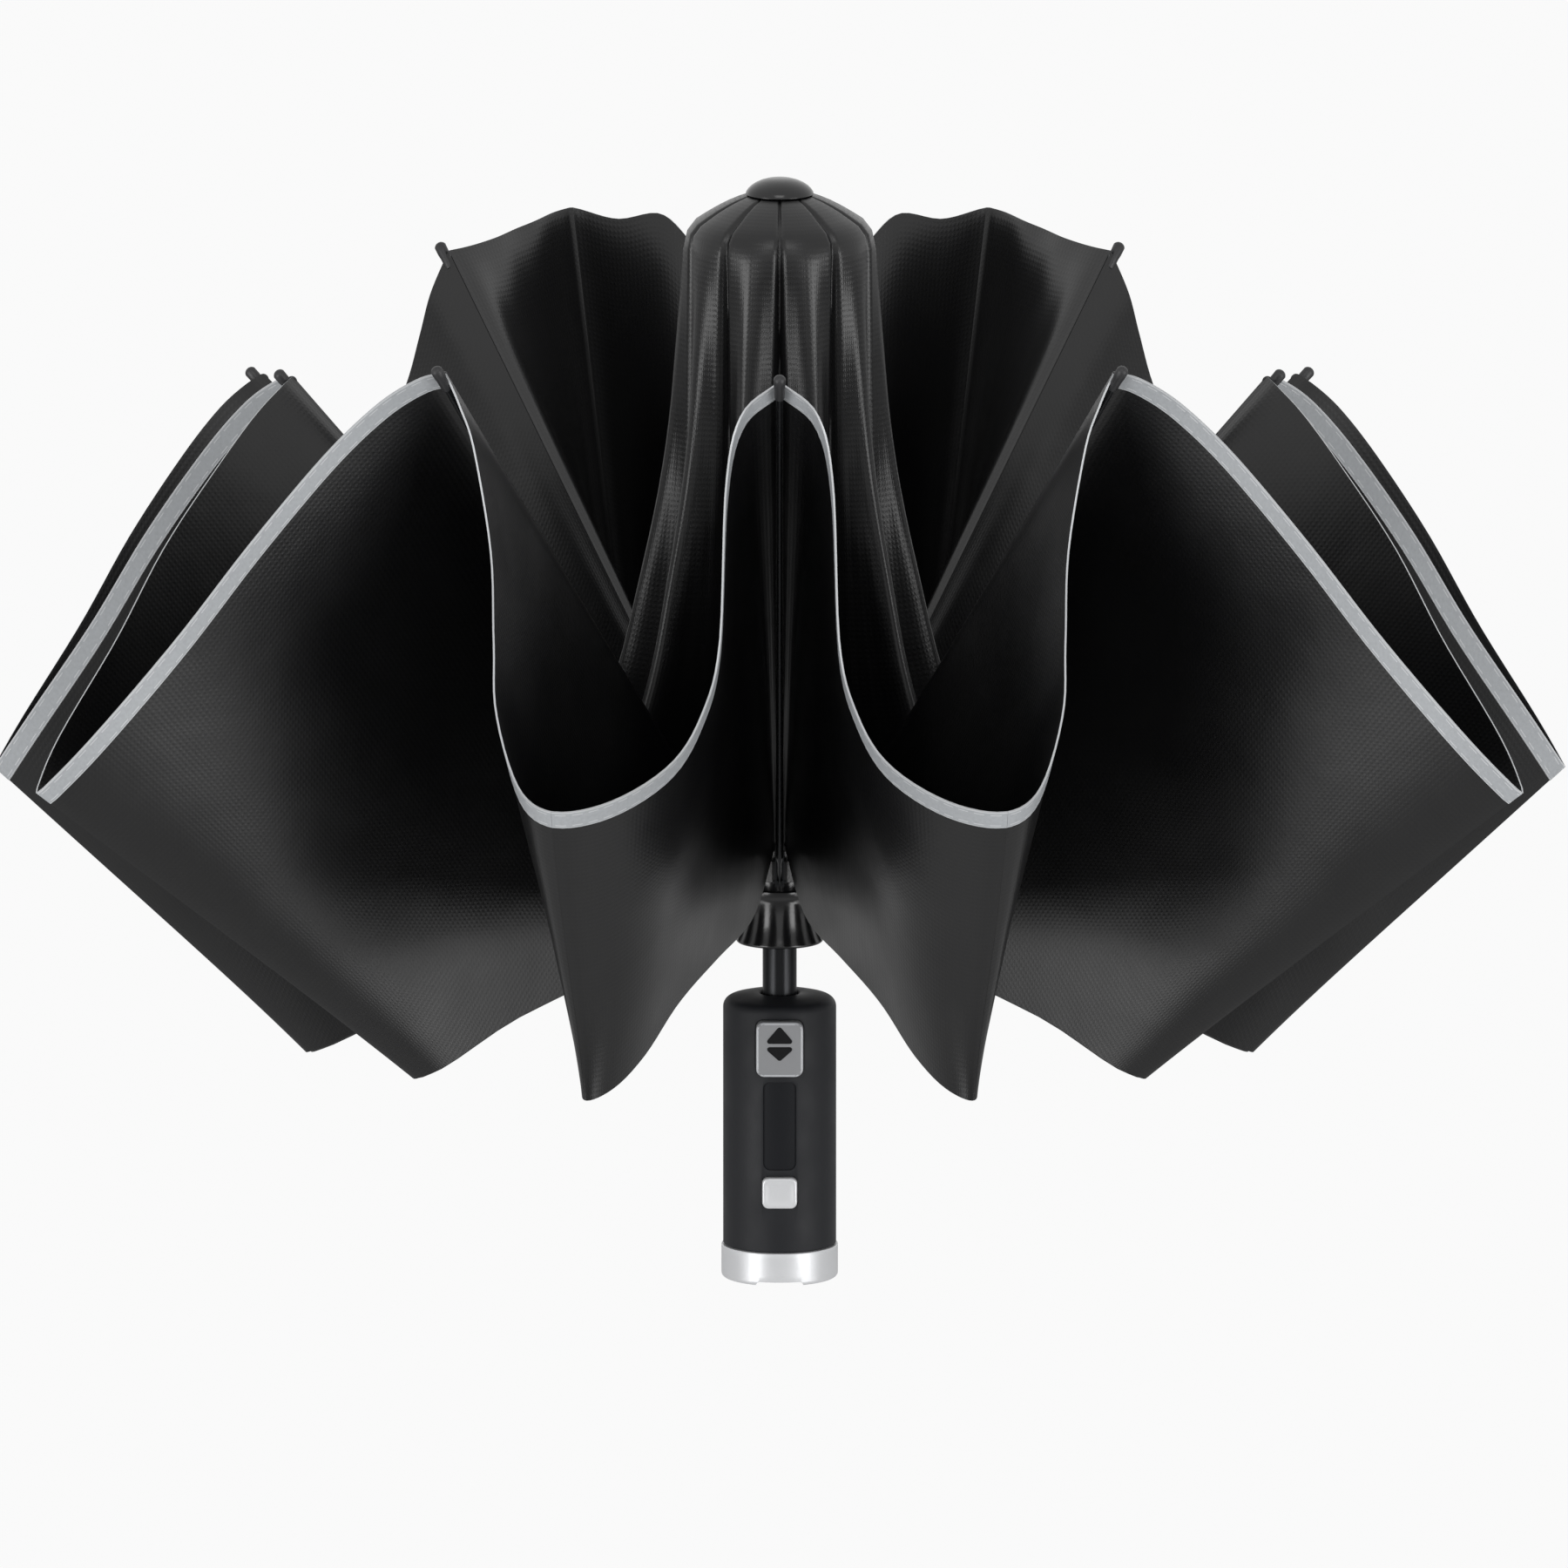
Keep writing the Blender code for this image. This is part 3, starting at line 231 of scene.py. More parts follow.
# The bell's neck, with heights above its foot
NECK_PROFILE = ((0.0100, 0.0140), (0.0104, 0.0147), (0.0104, 0.0160), (0.0099, 0.0166), (0.0097, 0.0189),
                (BELL_BORE, 0.0190))
CROWN_PROFILE = (
    (0.0, 0.3112), (0.0026, 0.3112), (0.0026, 0.3172), (0.0060, 0.3170), (0.0088, 0.3162),
    (0.0094, 0.3159), (0.0097, 0.3161), (0.0096, 0.3166), (0.0091, 0.3174), (0.0082, 0.3183),
    (0.0070, 0.3191), (0.0055, 0.3198), (0.0038, 0.3203), (0.0019, 0.32055), (0.0, 0.3206),
)

# Ribs: where a rod's thickness changes along it, counted from its joint, and its thickness there as a share.
# The last place is counted from the rib's end, as the tip cap's are.
ROD_PLACES = (-0.0004, 0.0010, 0.0080, 0.0100, 0.0110, 0.0080)
ROD_SHARES = (0.58, 0.63, 0.63, 1.10, 1.10, 1.0)
TIP_PLACES = (0.0090, 0.0086, 0.0050, 0.0035)
TIP_SHARES = (0.70, 0.80, 0.83, 0.94)
TIP_NOSE = 0.0017
PIN_PLACES = (-0.0019, -0.0018, 0.0018, 0.0019)
PIN_RADII = (0.0003, 0.0005, 0.0005, 0.0003)
# The eye that the hem is sewn to, on the tip cap's inner side
EYE_PLACE = 0.0055
EYE_STANDOFF = 0.0014
EYE_RADIUS = 0.0013
EYE_WIRE = 0.00035

# Stage: the middle of the view, what the lamps are aimed at, and each lamp's place, size and setting for its
# power. The white surroundings and the floor give less light than they show.
VIEW_MIDDLE = (0.00125, 0.0, 0.1439)
LAMP_TARGET = (0.0, 0.0, 0.15)
LAMPS = {
    "lamp_left": ((-1.9, -1.7, 0.0), (1.2, 1.8), "side_power"),
    "lamp_right": ((1.9, -1.7, 0.0), (1.2, 1.8), "side_power"),
    "lamp_top": ((0.0, -2.0, 2.2), (1.2, 1.2), "top_power"),
    "lamp_low_left": ((-2.0, -0.9, -0.75), (1.0, 1.0), "low_power"),
    "lamp_low_right": ((2.0, -0.9, -0.75), (1.0, 1.0), "low_power"),
}
SENSOR_WIDTH = 36.0
WHITE = (1.0, 1.0, 1.0, 1.0)
WORLD_LIGHT = 0.35
FLOOR_GLOW = 0.93
FLOOR_REACH = 40.0


def linear(colour):
    """An sRGB colour written as #rrggbb, turned to the linear values that shaders take."""
    parts = np.array([int(colour[place:place + 2], 16) for place in (1, 3, 5)]) / 255
    low = parts / 12.92
    high = ((parts + 0.055) / 1.055) ** 2.4
    return (*np.where(parts <= 0.04045, low, high), 1.0)


def add_node(material, kind, inputs=(), **settings):
    """One shader node with its settings. Each input takes a value or another node's output."""
    node = material.node_tree.nodes.new(kind)
    for name, value in settings.items():
        setattr(node, name, value)
    for key, value in dict(inputs).items():
        if isinstance(value, bpy.types.NodeSocket):
            material.node_tree.links.new(value, node.inputs[key])
        else:
            node.inputs[key].default_value = value
    return node


def new_material(name, colour, roughness, **shader_inputs):
    """A material with its colour and constants on the shader, to which patterns are then added."""
    made = bpy.data.materials.new(name)
    made.use_nodes = True
    shader = made.node_tree.nodes["Principled BSDF"]
    shader.inputs["Base Color"].default_value = colour
    shader.inputs["Roughness"].default_value = roughness
    for key, value in shader_inputs.items():
        shader.inputs[key.replace("_", " ")].default_value = value
    made.diffuse_color = colour
    return made, shader


def join(material, output, shader, name):
    material.node_tree.links.new(output, shader.inputs[name])


def make_pongee(colour):
    """Black polyester pongee with a water-repellent finish: a dull satin whose plain weave just breaks the
    highlights, so it looks deep black face on and soft grey where it turns away."""
    made, shader = new_material("black_pongee_coated", colour, 0.32, IOR=1.45)
    uv = add_node(made, "ShaderNodeUVMap", uv_map="cloth").outputs["UV"]
    # Threads lie about 0.2 mm apart and are drawn 1.6 mm apart, so that they show at all
    warp, weft = (add_node(made, "ShaderNodeTexWave", {"Vector": uv, "Scale": 200.0, "Distortion": 0.3},
                           bands_direction=way, wave_profile="SIN").outputs["Fac"] for way in "XY")
    weave = add_node(made, "ShaderNodeMath", {0: warp, 1: weft}, operation="MULTIPLY")
    fine = add_node(made, "ShaderNodeBump", {
        "Height": weave.outputs[0], "Strength": 0.22, "Distance": 0.0001})
    # Soft waves about 30 mm long, as light cloth keeps after folding
    place = add_node(made, "ShaderNodeTexCoord").outputs["Object"]
    soft = add_node(made, "ShaderNodeTexNoise", {
        "Vector": place, "Scale": 34.0, "Detail": 2.0}).outputs["Fac"]
    both = add_node(made, "ShaderNodeBump", {
        "Height": soft, "Strength": 0.12, "Distance": 0.003, "Normal": fine.outputs["Normal"]})
    join(made, both.outputs["Normal"], shader, "Normal")
    rough = add_node(made, "ShaderNodeMapRange", {
        "Value": soft, "From Min": 0.3, "From Max": 0.7, "To Min": 0.29, "To Max": 0.35})
    join(made, rough.outputs["Result"], shader, "Roughness")
    return made


def make_tape(colour, thread):
    """Grey reflective tape with glass beads, woven with a paler selvedge and sewn along the hem: an even
    silver grey with a light line along each edge and a faint row of stitches inside it."""
    made, shader = new_material("reflective_tape_sewn", colour, 0.42, Metallic=0.15)
    uv = add_node(made, "ShaderNodeUVMap", uv_map="cloth").outputs["UV"]
    apart = add_node(made, "ShaderNodeSeparateXYZ", {"Vector": uv})
    # Stitches 3 mm long, one every 5 mm, in two rows 1.1 mm in from the edges of the 6 mm tape
    across = add_node(made, "ShaderNodeMath", {0: apart.outputs["Y"], 1: 0.003}, operation="SUBTRACT")
    aside = add_node(made, "ShaderNodeMath", {0: across.outputs[0]}, operation="ABSOLUTE").outputs[0]
    line = add_node(made, "ShaderNodeMath", {0: aside, 1: 0.0019, 2: 0.00016}, operation="COMPARE")
    dash = add_node(made, "ShaderNodeTexWave", {"Vector": uv, "Scale": 64.0}, bands_direction="X")
    gaps = add_node(made, "ShaderNodeMath", {0: dash.outputs["Fac"], 1: 0.3}, operation="GREATER_THAN")
    stitch = add_node(made, "ShaderNodeMath", {0: line.outputs[0], 1: gaps.outputs[0]}, operation="MULTIPLY")
    # The selvedge is 0.4 mm wide
    selvedge = add_node(made, "ShaderNodeMath", {0: aside, 1: 0.0026}, operation="GREATER_THAN")
    pale = add_node(made, "ShaderNodeMath", {
        0: stitch.outputs[0], 1: selvedge.outputs[0]}, operation="MAXIMUM")
    # Beads of 0.1 mm, drawn as a speckle of 1 mm
    beads = add_node(made, "ShaderNodeTexNoise", {"Vector": uv, "Scale": 900.0, "Detail": 1.0})
    dull, bright = (tuple(np.array(colour) * (share, share, share, 1.0)) for share in (0.88, 1.12))
    speckle = add_node(made, "ShaderNodeMix", {0: beads.outputs["Fac"], 6: dull, 7: bright}, data_type="RGBA")
    paint = add_node(made, "ShaderNodeMix", {
        0: pale.outputs[0], 6: speckle.outputs[2], 7: thread}, data_type="RGBA")
    join(made, paint.outputs[2], shader, "Base Color")
    raised = add_node(made, "ShaderNodeBump", {
        "Height": stitch.outputs[0], "Strength": 0.5, "Distance": 0.0002})
    join(made, raised.outputs["Normal"], shader, "Normal")
    return made


def make_moulding(name, colour, roughness, fleck, skin, cloud, **shader_inputs):
    """A moulding, lacquer or paint: an even colour with a fine skin, whose gloss varies a little. The skin is
    (scale, detail, strength) of its relief, and the cloud is (scale, least value) of the gloss."""
    made, shader = new_material(name, colour, roughness, **shader_inputs)
    place = add_node(made, "ShaderNodeTexCoord").outputs["Object"]
    grain = add_node(made, "ShaderNodeTexNoise", {"Vector": place, "Scale": skin[0], "Detail": skin[1]})
    bump = add_node(made, "ShaderNodeBump", {
        "Height": grain.outputs["Fac"], "Strength": skin[2], "Distance": 0.0002})
    join(made, bump.outputs["Normal"], shader, "Normal")
    worn = add_node(made, "ShaderNodeTexNoise", {"Vector": place, "Scale": cloud[0], "Detail": 3.0})
    rough = add_node(made, "ShaderNodeMapRange", {
        "Value": worn.outputs["Fac"], "From Min": cloud[1], "From Max": 1 - cloud[1],
        "To Min": roughness - fleck, "To Max": roughness + fleck})
    join(made, rough.outputs["Result"], shader, "Roughness")
    return made


def make_soft_touch(name, colour, gloss):
    """ABS moulding with soft-touch lacquer: matte charcoal without a clear highlight. Its grain of 0.1 mm is
    drawn at 0.4 mm so that it shows."""
    return make_moulding(name, colour, 0.55, 0.05, (2500.0, 2.0, 0.12), (90.0, 0.35),
                         IOR=1.45, Specular_IOR_Level=gloss)


def make_satin(name, colour, roughness, metallic, fleck, gloss=0.5):
    """A satin moulding or paint, with an orange-peel skin of about 0.7 mm that softens its highlights."""
    return make_moulding(name, colour, roughness, fleck, (1400.0, 1.0, 0.06), (160.0, 0.3),
                         Metallic=metallic, Specular_IOR_Level=gloss)


def make_drawn_steel(name, colour, roughness, metallic):
    """Steel drawn lengthwise, bare or chromed black: fine lines along the part that stretch its highlight."""
    made, shader = new_material(name, colour, roughness, Metallic=metallic)
    place = add_node(made, "ShaderNodeTexCoord").outputs["Object"]
    # Drawing lines 0.15 mm apart, 20 mm long
    scaled = add_node(made, "ShaderNodeMapping", {"Vector": place, "Scale": (6500.0, 6500.0, 50.0)})
    lines = add_node(made, "ShaderNodeTexNoise", {
        "Vector": scaled.outputs["Vector"], "Scale": 1.0, "Detail": 2.0}).outputs["Fac"]
    rough = add_node(made, "ShaderNodeMapRange", {
        "Value": lines, "To Min": roughness - 0.06, "To Max": roughness + 0.06})
    join(made, rough.outputs["Result"], shader, "Roughness")
    bump = add_node(made, "ShaderNodeBump", {"Height": lines, "Strength": 0.08, "Distance": 0.00005})
    join(made, bump.outputs["Normal"], shader, "Normal")
    return made


def make_solder_resist(colour):
    """Green solder resist over copper tracks on a glass-fibre board: glossy, with paler tracks."""
    made, shader = new_material("solder_resist", colour, 0.3)
    place = add_node(made, "ShaderNodeTexCoord")
    tracks = add_node(made, "ShaderNodeTexBrick", {
        "Vector": place.outputs["Object"], "Scale": 350.0, "Mortar Size": 0.06,
        "Color1": linear("#0f4a22"), "Color2": linear("#12532a"), "Mortar": linear("#2c7a42")})
    join(made, tracks.outputs["Color"], shader, "Base Color")
    return made


def make_clear(name):
    """Clear polycarbonate, moulded and polished, as the torch's lens is."""
    return new_material(name, linear("#f4f6f7"), 0.04, IOR=1.58, Transmission_Weight=1.0)[0]


def link_mesh(name, points, faces, materials, body=None, marks=None, uv=None, sharp=35):
    """A finished piece at the origin: its points and faces go straight into the mesh, shaded smooth but for
    edges sharper than the angle. It rides on the body and names its finish."""
    mesh = bpy.data.meshes.new(name)
    mesh.from_pydata(np.asarray(points), [], [tuple(face) for face in faces])
    for material in materials:
        mesh.materials.append(material)
    if marks is not None:
        mesh.polygons.foreach_set("material_index", np.asarray(marks, np.int32))
    if uv is not None:
        layer = mesh.uv_layers.new(name="cloth")
        corners = np.zeros(len(mesh.loops), np.int32)
        mesh.loops.foreach_get("vertex_index", corners)
        layer.data.foreach_set("uv", np.asarray(uv, np.float32)[corners].ravel())
    mesh.validate()
    mesh.shade_smooth()
    mesh.set_sharp_from_angle(angle=math.radians(sharp))
    piece = bpy.data.objects.new(name, mesh)
    bpy.context.scene.collection.objects.link(piece)
    if body:
        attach(piece, body)
    return piece


def grid_faces(rows, columns):
    """Quads over a grid of rows x columns points, counted row by row."""
    corner = (np.arange(rows - 1)[:, None] * columns + np.arange(columns - 1)[None, :]).ravel()
    return np.stack([corner, corner + 1, corner + columns + 1, corner + columns], axis=1)


def ring_faces(rings, sides, joined=False):
    """Quads between rings of points that each close on themselves. Joined, the last ring meets the first."""
    ring = np.arange(rings if joined else rings - 1)[:, None]
    here = np.arange(sides)[None, :]
    after = (here + 1) % sides
    low, high = ring * sides, (ring + 1) % rings * sides
    return np.stack([low + here, low + after, high + after, high + here], axis=-1).reshape(-1, 4)


def rim_faces(index, count):
    """Quads round the border of a grid of points, between one skin and the other, count points later."""
    rim = np.concatenate([index[0, :-1], index[:-1, -1], index[-1, :0:-1], index[:0:-1, 0]])
    following = np.roll(rim, -1)
    return np.stack([following, rim, rim + count, following + count], axis=1)


def capped(quads, sides, rings):
    """A tube's quads with a face at each end."""
    here = np.arange(sides)
    return [tuple(face) for face in quads] + [tuple(here[::-1]), tuple(here + (rings - 1) * sides)]


def polar(azimuth, radius, height):
    """Point at an azimuth counted from -Y towards +X: (r sin a, -r cos a, z)."""
    return np.stack(np.broadcast_arrays(radius * np.sin(azimuth), -radius * np.cos(azimuth), height), axis=-1)


def smooth_outline(shares, start, end, wanted):
    """A smooth curve through the outline's rows, between two places (azimuth, radius, height). Between rows
    i and i+1 it is the cubic that passes through both and leaves each along the line that joins its two
    neighbours, with the end rows mirrored outwards."""
    rows = np.array(shares)
    rows = np.concatenate([2 * rows[:1] - rows[1:2], rows, 2 * rows[-1:] - rows[-2:-1]])
    along = np.asarray(wanted) * (len(shares) - 1)
    first = np.minimum(along.astype(int), len(shares) - 2)
    u = (along - first)[:, None]
    a, b, c, d = (rows[first + step] for step in range(4))
    share = 0.5 * (2 * b + (c - a) * u + (2 * a - 5 * b + 4 * c - d) * u ** 2
                   + (3 * b - a - 3 * c + d) * u ** 3)
    start, end = np.array(start), np.array(end)
    return polar(*(start + (end - start) * share).T)


def filled(low, high, left, right):
    """The surface between four edges: P = (1-t) left + t right + (1-u) low + u high, less the blend of the
    corners."""
    u = np.linspace(0, 1, len(left))[:, None, None]
    t = np.linspace(0, 1, len(low))[None, :, None]
    across = (1 - t) * left[:, None, :] + t * right[:, None, :]
    along = (1 - u) * low[None, :, :] + u * high[None, :, :]
    corners = (1 - u) * ((1 - t) * low[0] + t * low[-1]) + u * ((1 - t) * high[0] + t * high[-1])
    return across + along - corners


def front_count(rib):
    return min(rib % RIBS, RIBS - rib % RIBS)


def gore_row(gore):
    return min(gore, RIBS - 1 - gore)


def rib_size(rib):
    """(spread, rise, length, lean) of an outer rib beyond its turning joint."""
    spread = RIB_SPREAD * RIB_SPREAD_SHARES[front_count(rib)]
    rise = RIB_RISE * RIB_RISE_SHARES[front_count(rib)]
    return spread, rise, math.hypot(spread, rise), math.atan2(spread, rise)


def rib_place(rib, along, standoff):
    """(radius, height) at a length along an outer rib, and off it towards the canopy's inside."""
    lean = rib_size(rib)[3]
    radius = JOINT_RADIUS + along * math.sin(lean) - standoff * math.cos(lean)
    height = JOINT_HEIGHT + along * math.cos(lean) + standoff * math.sin(lean)
    return radius, height


def lobe_of(gore):
    row = gore_row(gore)
    return LOBE_REACH * LOBE_REACH_SHARES[row], JOINT_HEIGHT - LOBE_DROP * LOBE_DROP_SHARES[row]


def corner_of(gore):
    row = gore_row(gore)
    return HEM_REACH * HEM_REACH_SHARES[row], JOINT_HEIGHT + HEM_RISE * HEM_RISE_SHARES[row]


def hem_outline(gore, rib):
    outlines = {(0, 0): ARCH_HEM, (0, 1): ROUND_HEM, (3, 4): STEEP_HEM, (4, 5): FAR_HEM}
    return outlines.get((gore_row(gore), front_count(rib)), CREASED_HEM)


def fold_outline(gore, rib):
    return FRONT_FOLD if gore_row(gore) == 0 and front_count(rib) == 0 else BOTTOM_FOLD


def far_rib(gore):
    """The rib on the gore's side away from the viewer."""
    return gore + 1 if gore < RIBS // 2 else gore


def half_petal(gore, rib):
    """The outer part of a gore beside one rib, from its bottom fold up to its hem and from the rib to the
    gore's middle, as a grid of points."""
    azimuth, middle = rib * STEP, (gore + 0.5) * STEP
    low = rib_place(rib, CLOTH_START, CLOTH_STANDOFF)
    high = rib_place(rib, rib_size(rib)[2] - TIP_CAP_LENGTH / 2, TIP_STANDOFF)
    t = np.linspace(0, 1, PETAL_COLUMNS + 1)
    fold = smooth_outline(fold_outline(gore, rib), (azimuth, *low), (middle, *lobe_of(gore)), t)
    hem = smooth_outline(hem_outline(gore, rib), (azimuth, *high), (middle, *corner_of(gore)), t)
    u = np.linspace(0, 1, PETAL_ROWS + 1)[:, None]
    return filled(fold, hem, fold[0] + (hem[0] - fold[0]) * u, fold[-1] + (hem[-1] - fold[-1]) * u)


def rounded_over(sheet, reach):
    """Rounds a sheet's crease in its middle column: near it each point moves to the mean of its row's
    neighbours, weighted exp(-d^2 / 2 reach^2), by a share that fades out over four reaches."""
    columns = sheet.shape[1]
    place = np.arange(columns)
    weight = np.exp(-((place[:, None] - place[None, :]) ** 2) / (2 * reach ** 2))
    weight /= weight.sum(axis=1)[:, None]
    mean = np.einsum("cd,rdk->rck", weight, sheet)
    share = np.clip(1 - np.abs(place - columns // 2) / (4 * reach), 0, 1)
    share = (share * share * (3 - 2 * share))[None, :, None]
    return sheet * (1 - share) + mean * share


def sheet_normals(sheet):
    """Unit normals of a grid: the cross product of its central differences along rows and columns."""
    normal = np.cross(np.gradient(sheet, axis=1), np.gradient(sheet, axis=0))
    return normal / np.linalg.norm(normal, axis=2, keepdims=True)


def lengths_up(sheet):
    """Length along each column from its first row, by the sum of the steps between rows."""
    steps = np.linalg.norm(np.diff(sheet, axis=0), axis=2)
    return np.concatenate([np.zeros((1, sheet.shape[1])), np.cumsum(steps, axis=0)])


def along_rows(sheet, from_end):
    """Moves the sheet's rows so that the last ones lie at given lengths from its upper edge, measured along
    each column, and the others are spread evenly below them. A new row's point is a + s (b - a), with a and b
    the old points on either side of its length."""
    arc = lengths_up(sheet)
    total = arc[-1]
    fixed = np.array(from_end)[:, None]
    even = np.linspace(0, 1, sheet.shape[0])[:, None] * (total - fixed[0] - BELOW_TAPE)
    wanted = np.concatenate([even, total - fixed])
    below = (wanted[:, None] >= arc[None, 1:-1]).sum(axis=1)
    start, end = np.take_along_axis(arc, below, axis=0), np.take_along_axis(arc, below + 1, axis=0)
    share = ((wanted - start) / (end - start))[..., None]
    first = np.take_along_axis(sheet, below[..., None], axis=0)
    second = np.take_along_axis(sheet, below[..., None] + 1, axis=0)
    return first + (second - first) * share


def faced(quads, points, normal):
    """The quads, turned round if they face against the normals."""
    corner = points[quads]
    facing = np.cross(corner[:, 2] - corner[:, 0], corner[:, 3] - corner[:, 1])
    against = (facing * normal.reshape(-1, 3)[quads[:, 0]]).sum() < 0
    return (quads[:, ::-1], True) if against else (quads, False)


def walled(sheet, wall, raise_outer, outer_side):
    """Cloth with a thickness: P + n (w/2 + raise) outside and P - n w/2 inside, with a rim between. The outer
    side may be raised further, as where a tape lies on it. Returns points and faces."""
    normal = sheet_normals(sheet)
    if (normal * outer_side).sum() < 0:
        normal = -normal
    rows, columns = sheet.shape[:2]
    count = rows * columns
    outer = (sheet + normal * (wall / 2 + raise_outer)[..., None]).reshape(-1, 3)
    inner = (sheet - normal * wall / 2).reshape(-1, 3)
    quads, against = faced(grid_faces(rows, columns), outer, normal)
    rims = rim_faces(np.arange(count).reshape(rows, columns), count)
    return np.concatenate([outer, inner]), np.concatenate([
        quads, quads[:, ::-1] + count, rims[:, ::-1] if against else rims])


def middle_plane_normal(gore, rib):
    """Unit vector square to the plane through a gore's middle, pointing to the rib's side of it."""
    middle = (gore + 0.5) * STEP
    side = np.array([math.cos(middle), math.sin(middle), 0.0])
    return side * math.copysign(1, rib - gore - 0.5)


def petal_pair(gore, relief):
    """Both halves of a gore's outer part as one grid with its ridge rounded: front gores hang in round lobes
    and the others are creased. Soft waves h sin^2(pi u) sin^2(pi t) sin(2.3 pi u + 5 t + row) lie along the
    normals."""
    left, right = half_petal(gore, gore), half_petal(gore, gore + 1)
    sharp = np.concatenate([left, right[:, ::-1][:, 1:]], axis=1)
    front = gore_row(gore) == 0
    whole = rounded_over(sharp, ROUND_RIDGE if front else CREASED_RIDGE)
    rows, columns = whole.shape[:2]
    middle = columns // 2
    u = np.linspace(0, 1, rows)[:, None]
    # The feet are rounder than the ridge above them, and are then moved back out to where the fold ends
    foot = ((1 - u) ** 3)[..., None]
    whole += (rounded_over(whole, ROUND_FOOT if front else CREASED_FOOT) - whole) * foot
    lost = (sharp - whole)[:, middle:middle + 1]
    # A front lobe also reaches further out at its foot and leans away from the rib that faces the viewer
    plane = middle_plane_normal(gore, far_rib(gore))
    aside = FRONT_ASIDE * (1 - u ** 2) if front else 0 * u
    if front:
        lost = lost + polar((gore + 0.5) * STEP, FRONT_FOOT_OUT, 0.0)
    near = np.exp(-((np.arange(columns) - middle) / FOOT_REACH) ** 2)[None, :, None]
    whole += near * (lost * foot + aside[..., None] * plane)
    t = np.abs(np.linspace(-1, 1, columns))[None, :]
    fading = np.sin(math.pi * u) ** 2 * np.sin(math.pi * t) ** 2
    wave = fading * np.sin(2.3 * math.pi * u + 5.0 * t + gore_row(gore))
    whole = whole + sheet_normals(whole) * (relief * wave)[..., None]
    ridge = whole[:, middle]
    whole[:, middle] = ridge + (aside - (ridge @ plane)[:, None]) * plane
    return whole


def all_petals(relief):
    return [petal_pair(gore, relief) for gore in range(RIBS)]


def arm_shares():
    """Shares outwards and up at each row down the tent's arm, smoothed with a running mean."""
    arm = np.array(TENT_ARM)
    path = np.linspace(0, len(arm) - 1, TENT_ROWS)
    reach = ARM_MEAN // 2
    for column in arm.T:
        part = np.interp(path, np.arange(len(arm)), column)
        before, after = 2 * part[0] - part[reach:0:-1], 2 * part[-1] - part[-2:-2 - reach:-1]
        yield np.convolve(np.concatenate([before, part, after]), np.ones(ARM_MEAN) / ARM_MEAN, "valid")


def tent_roof(azimuths, seam):
    """The tent from the ring under the cap out to the shoulder: its height falls by the reach to a power."""
    reach = np.linspace(0, 1, ROOF_ROWS)[:-1, None]
    radius = TENT_RING_RADIUS + (TENT_SHOULDER_RADIUS - TENT_RING_RADIUS) * reach
    height = TENT_RING_HEIGHT + (TENT_SHOULDER_HEIGHT - TENT_RING_HEIGHT) * reach ** ROOF_ROUND
    return polar(azimuths, radius - SHOULDER_PINCH * reach * seam,
                 height - ROOF_SAG * np.sin(math.pi * reach) * seam)


def tent_lip(petal, columns, middle):
    """Three rows a short way up inside the petal, off its cloth."""
    lower = np.stack([sampled(petal[0] + (petal[1] - petal[0]) * share, columns) for share in (0, 0.5, 1)])
    inwards = -sheet_normals(lower)
    if (inwards * polar(middle, 1.0, 0.0)).sum() > 0:
        inwards = -inwards
    return lower + inwards * LIP_INSET


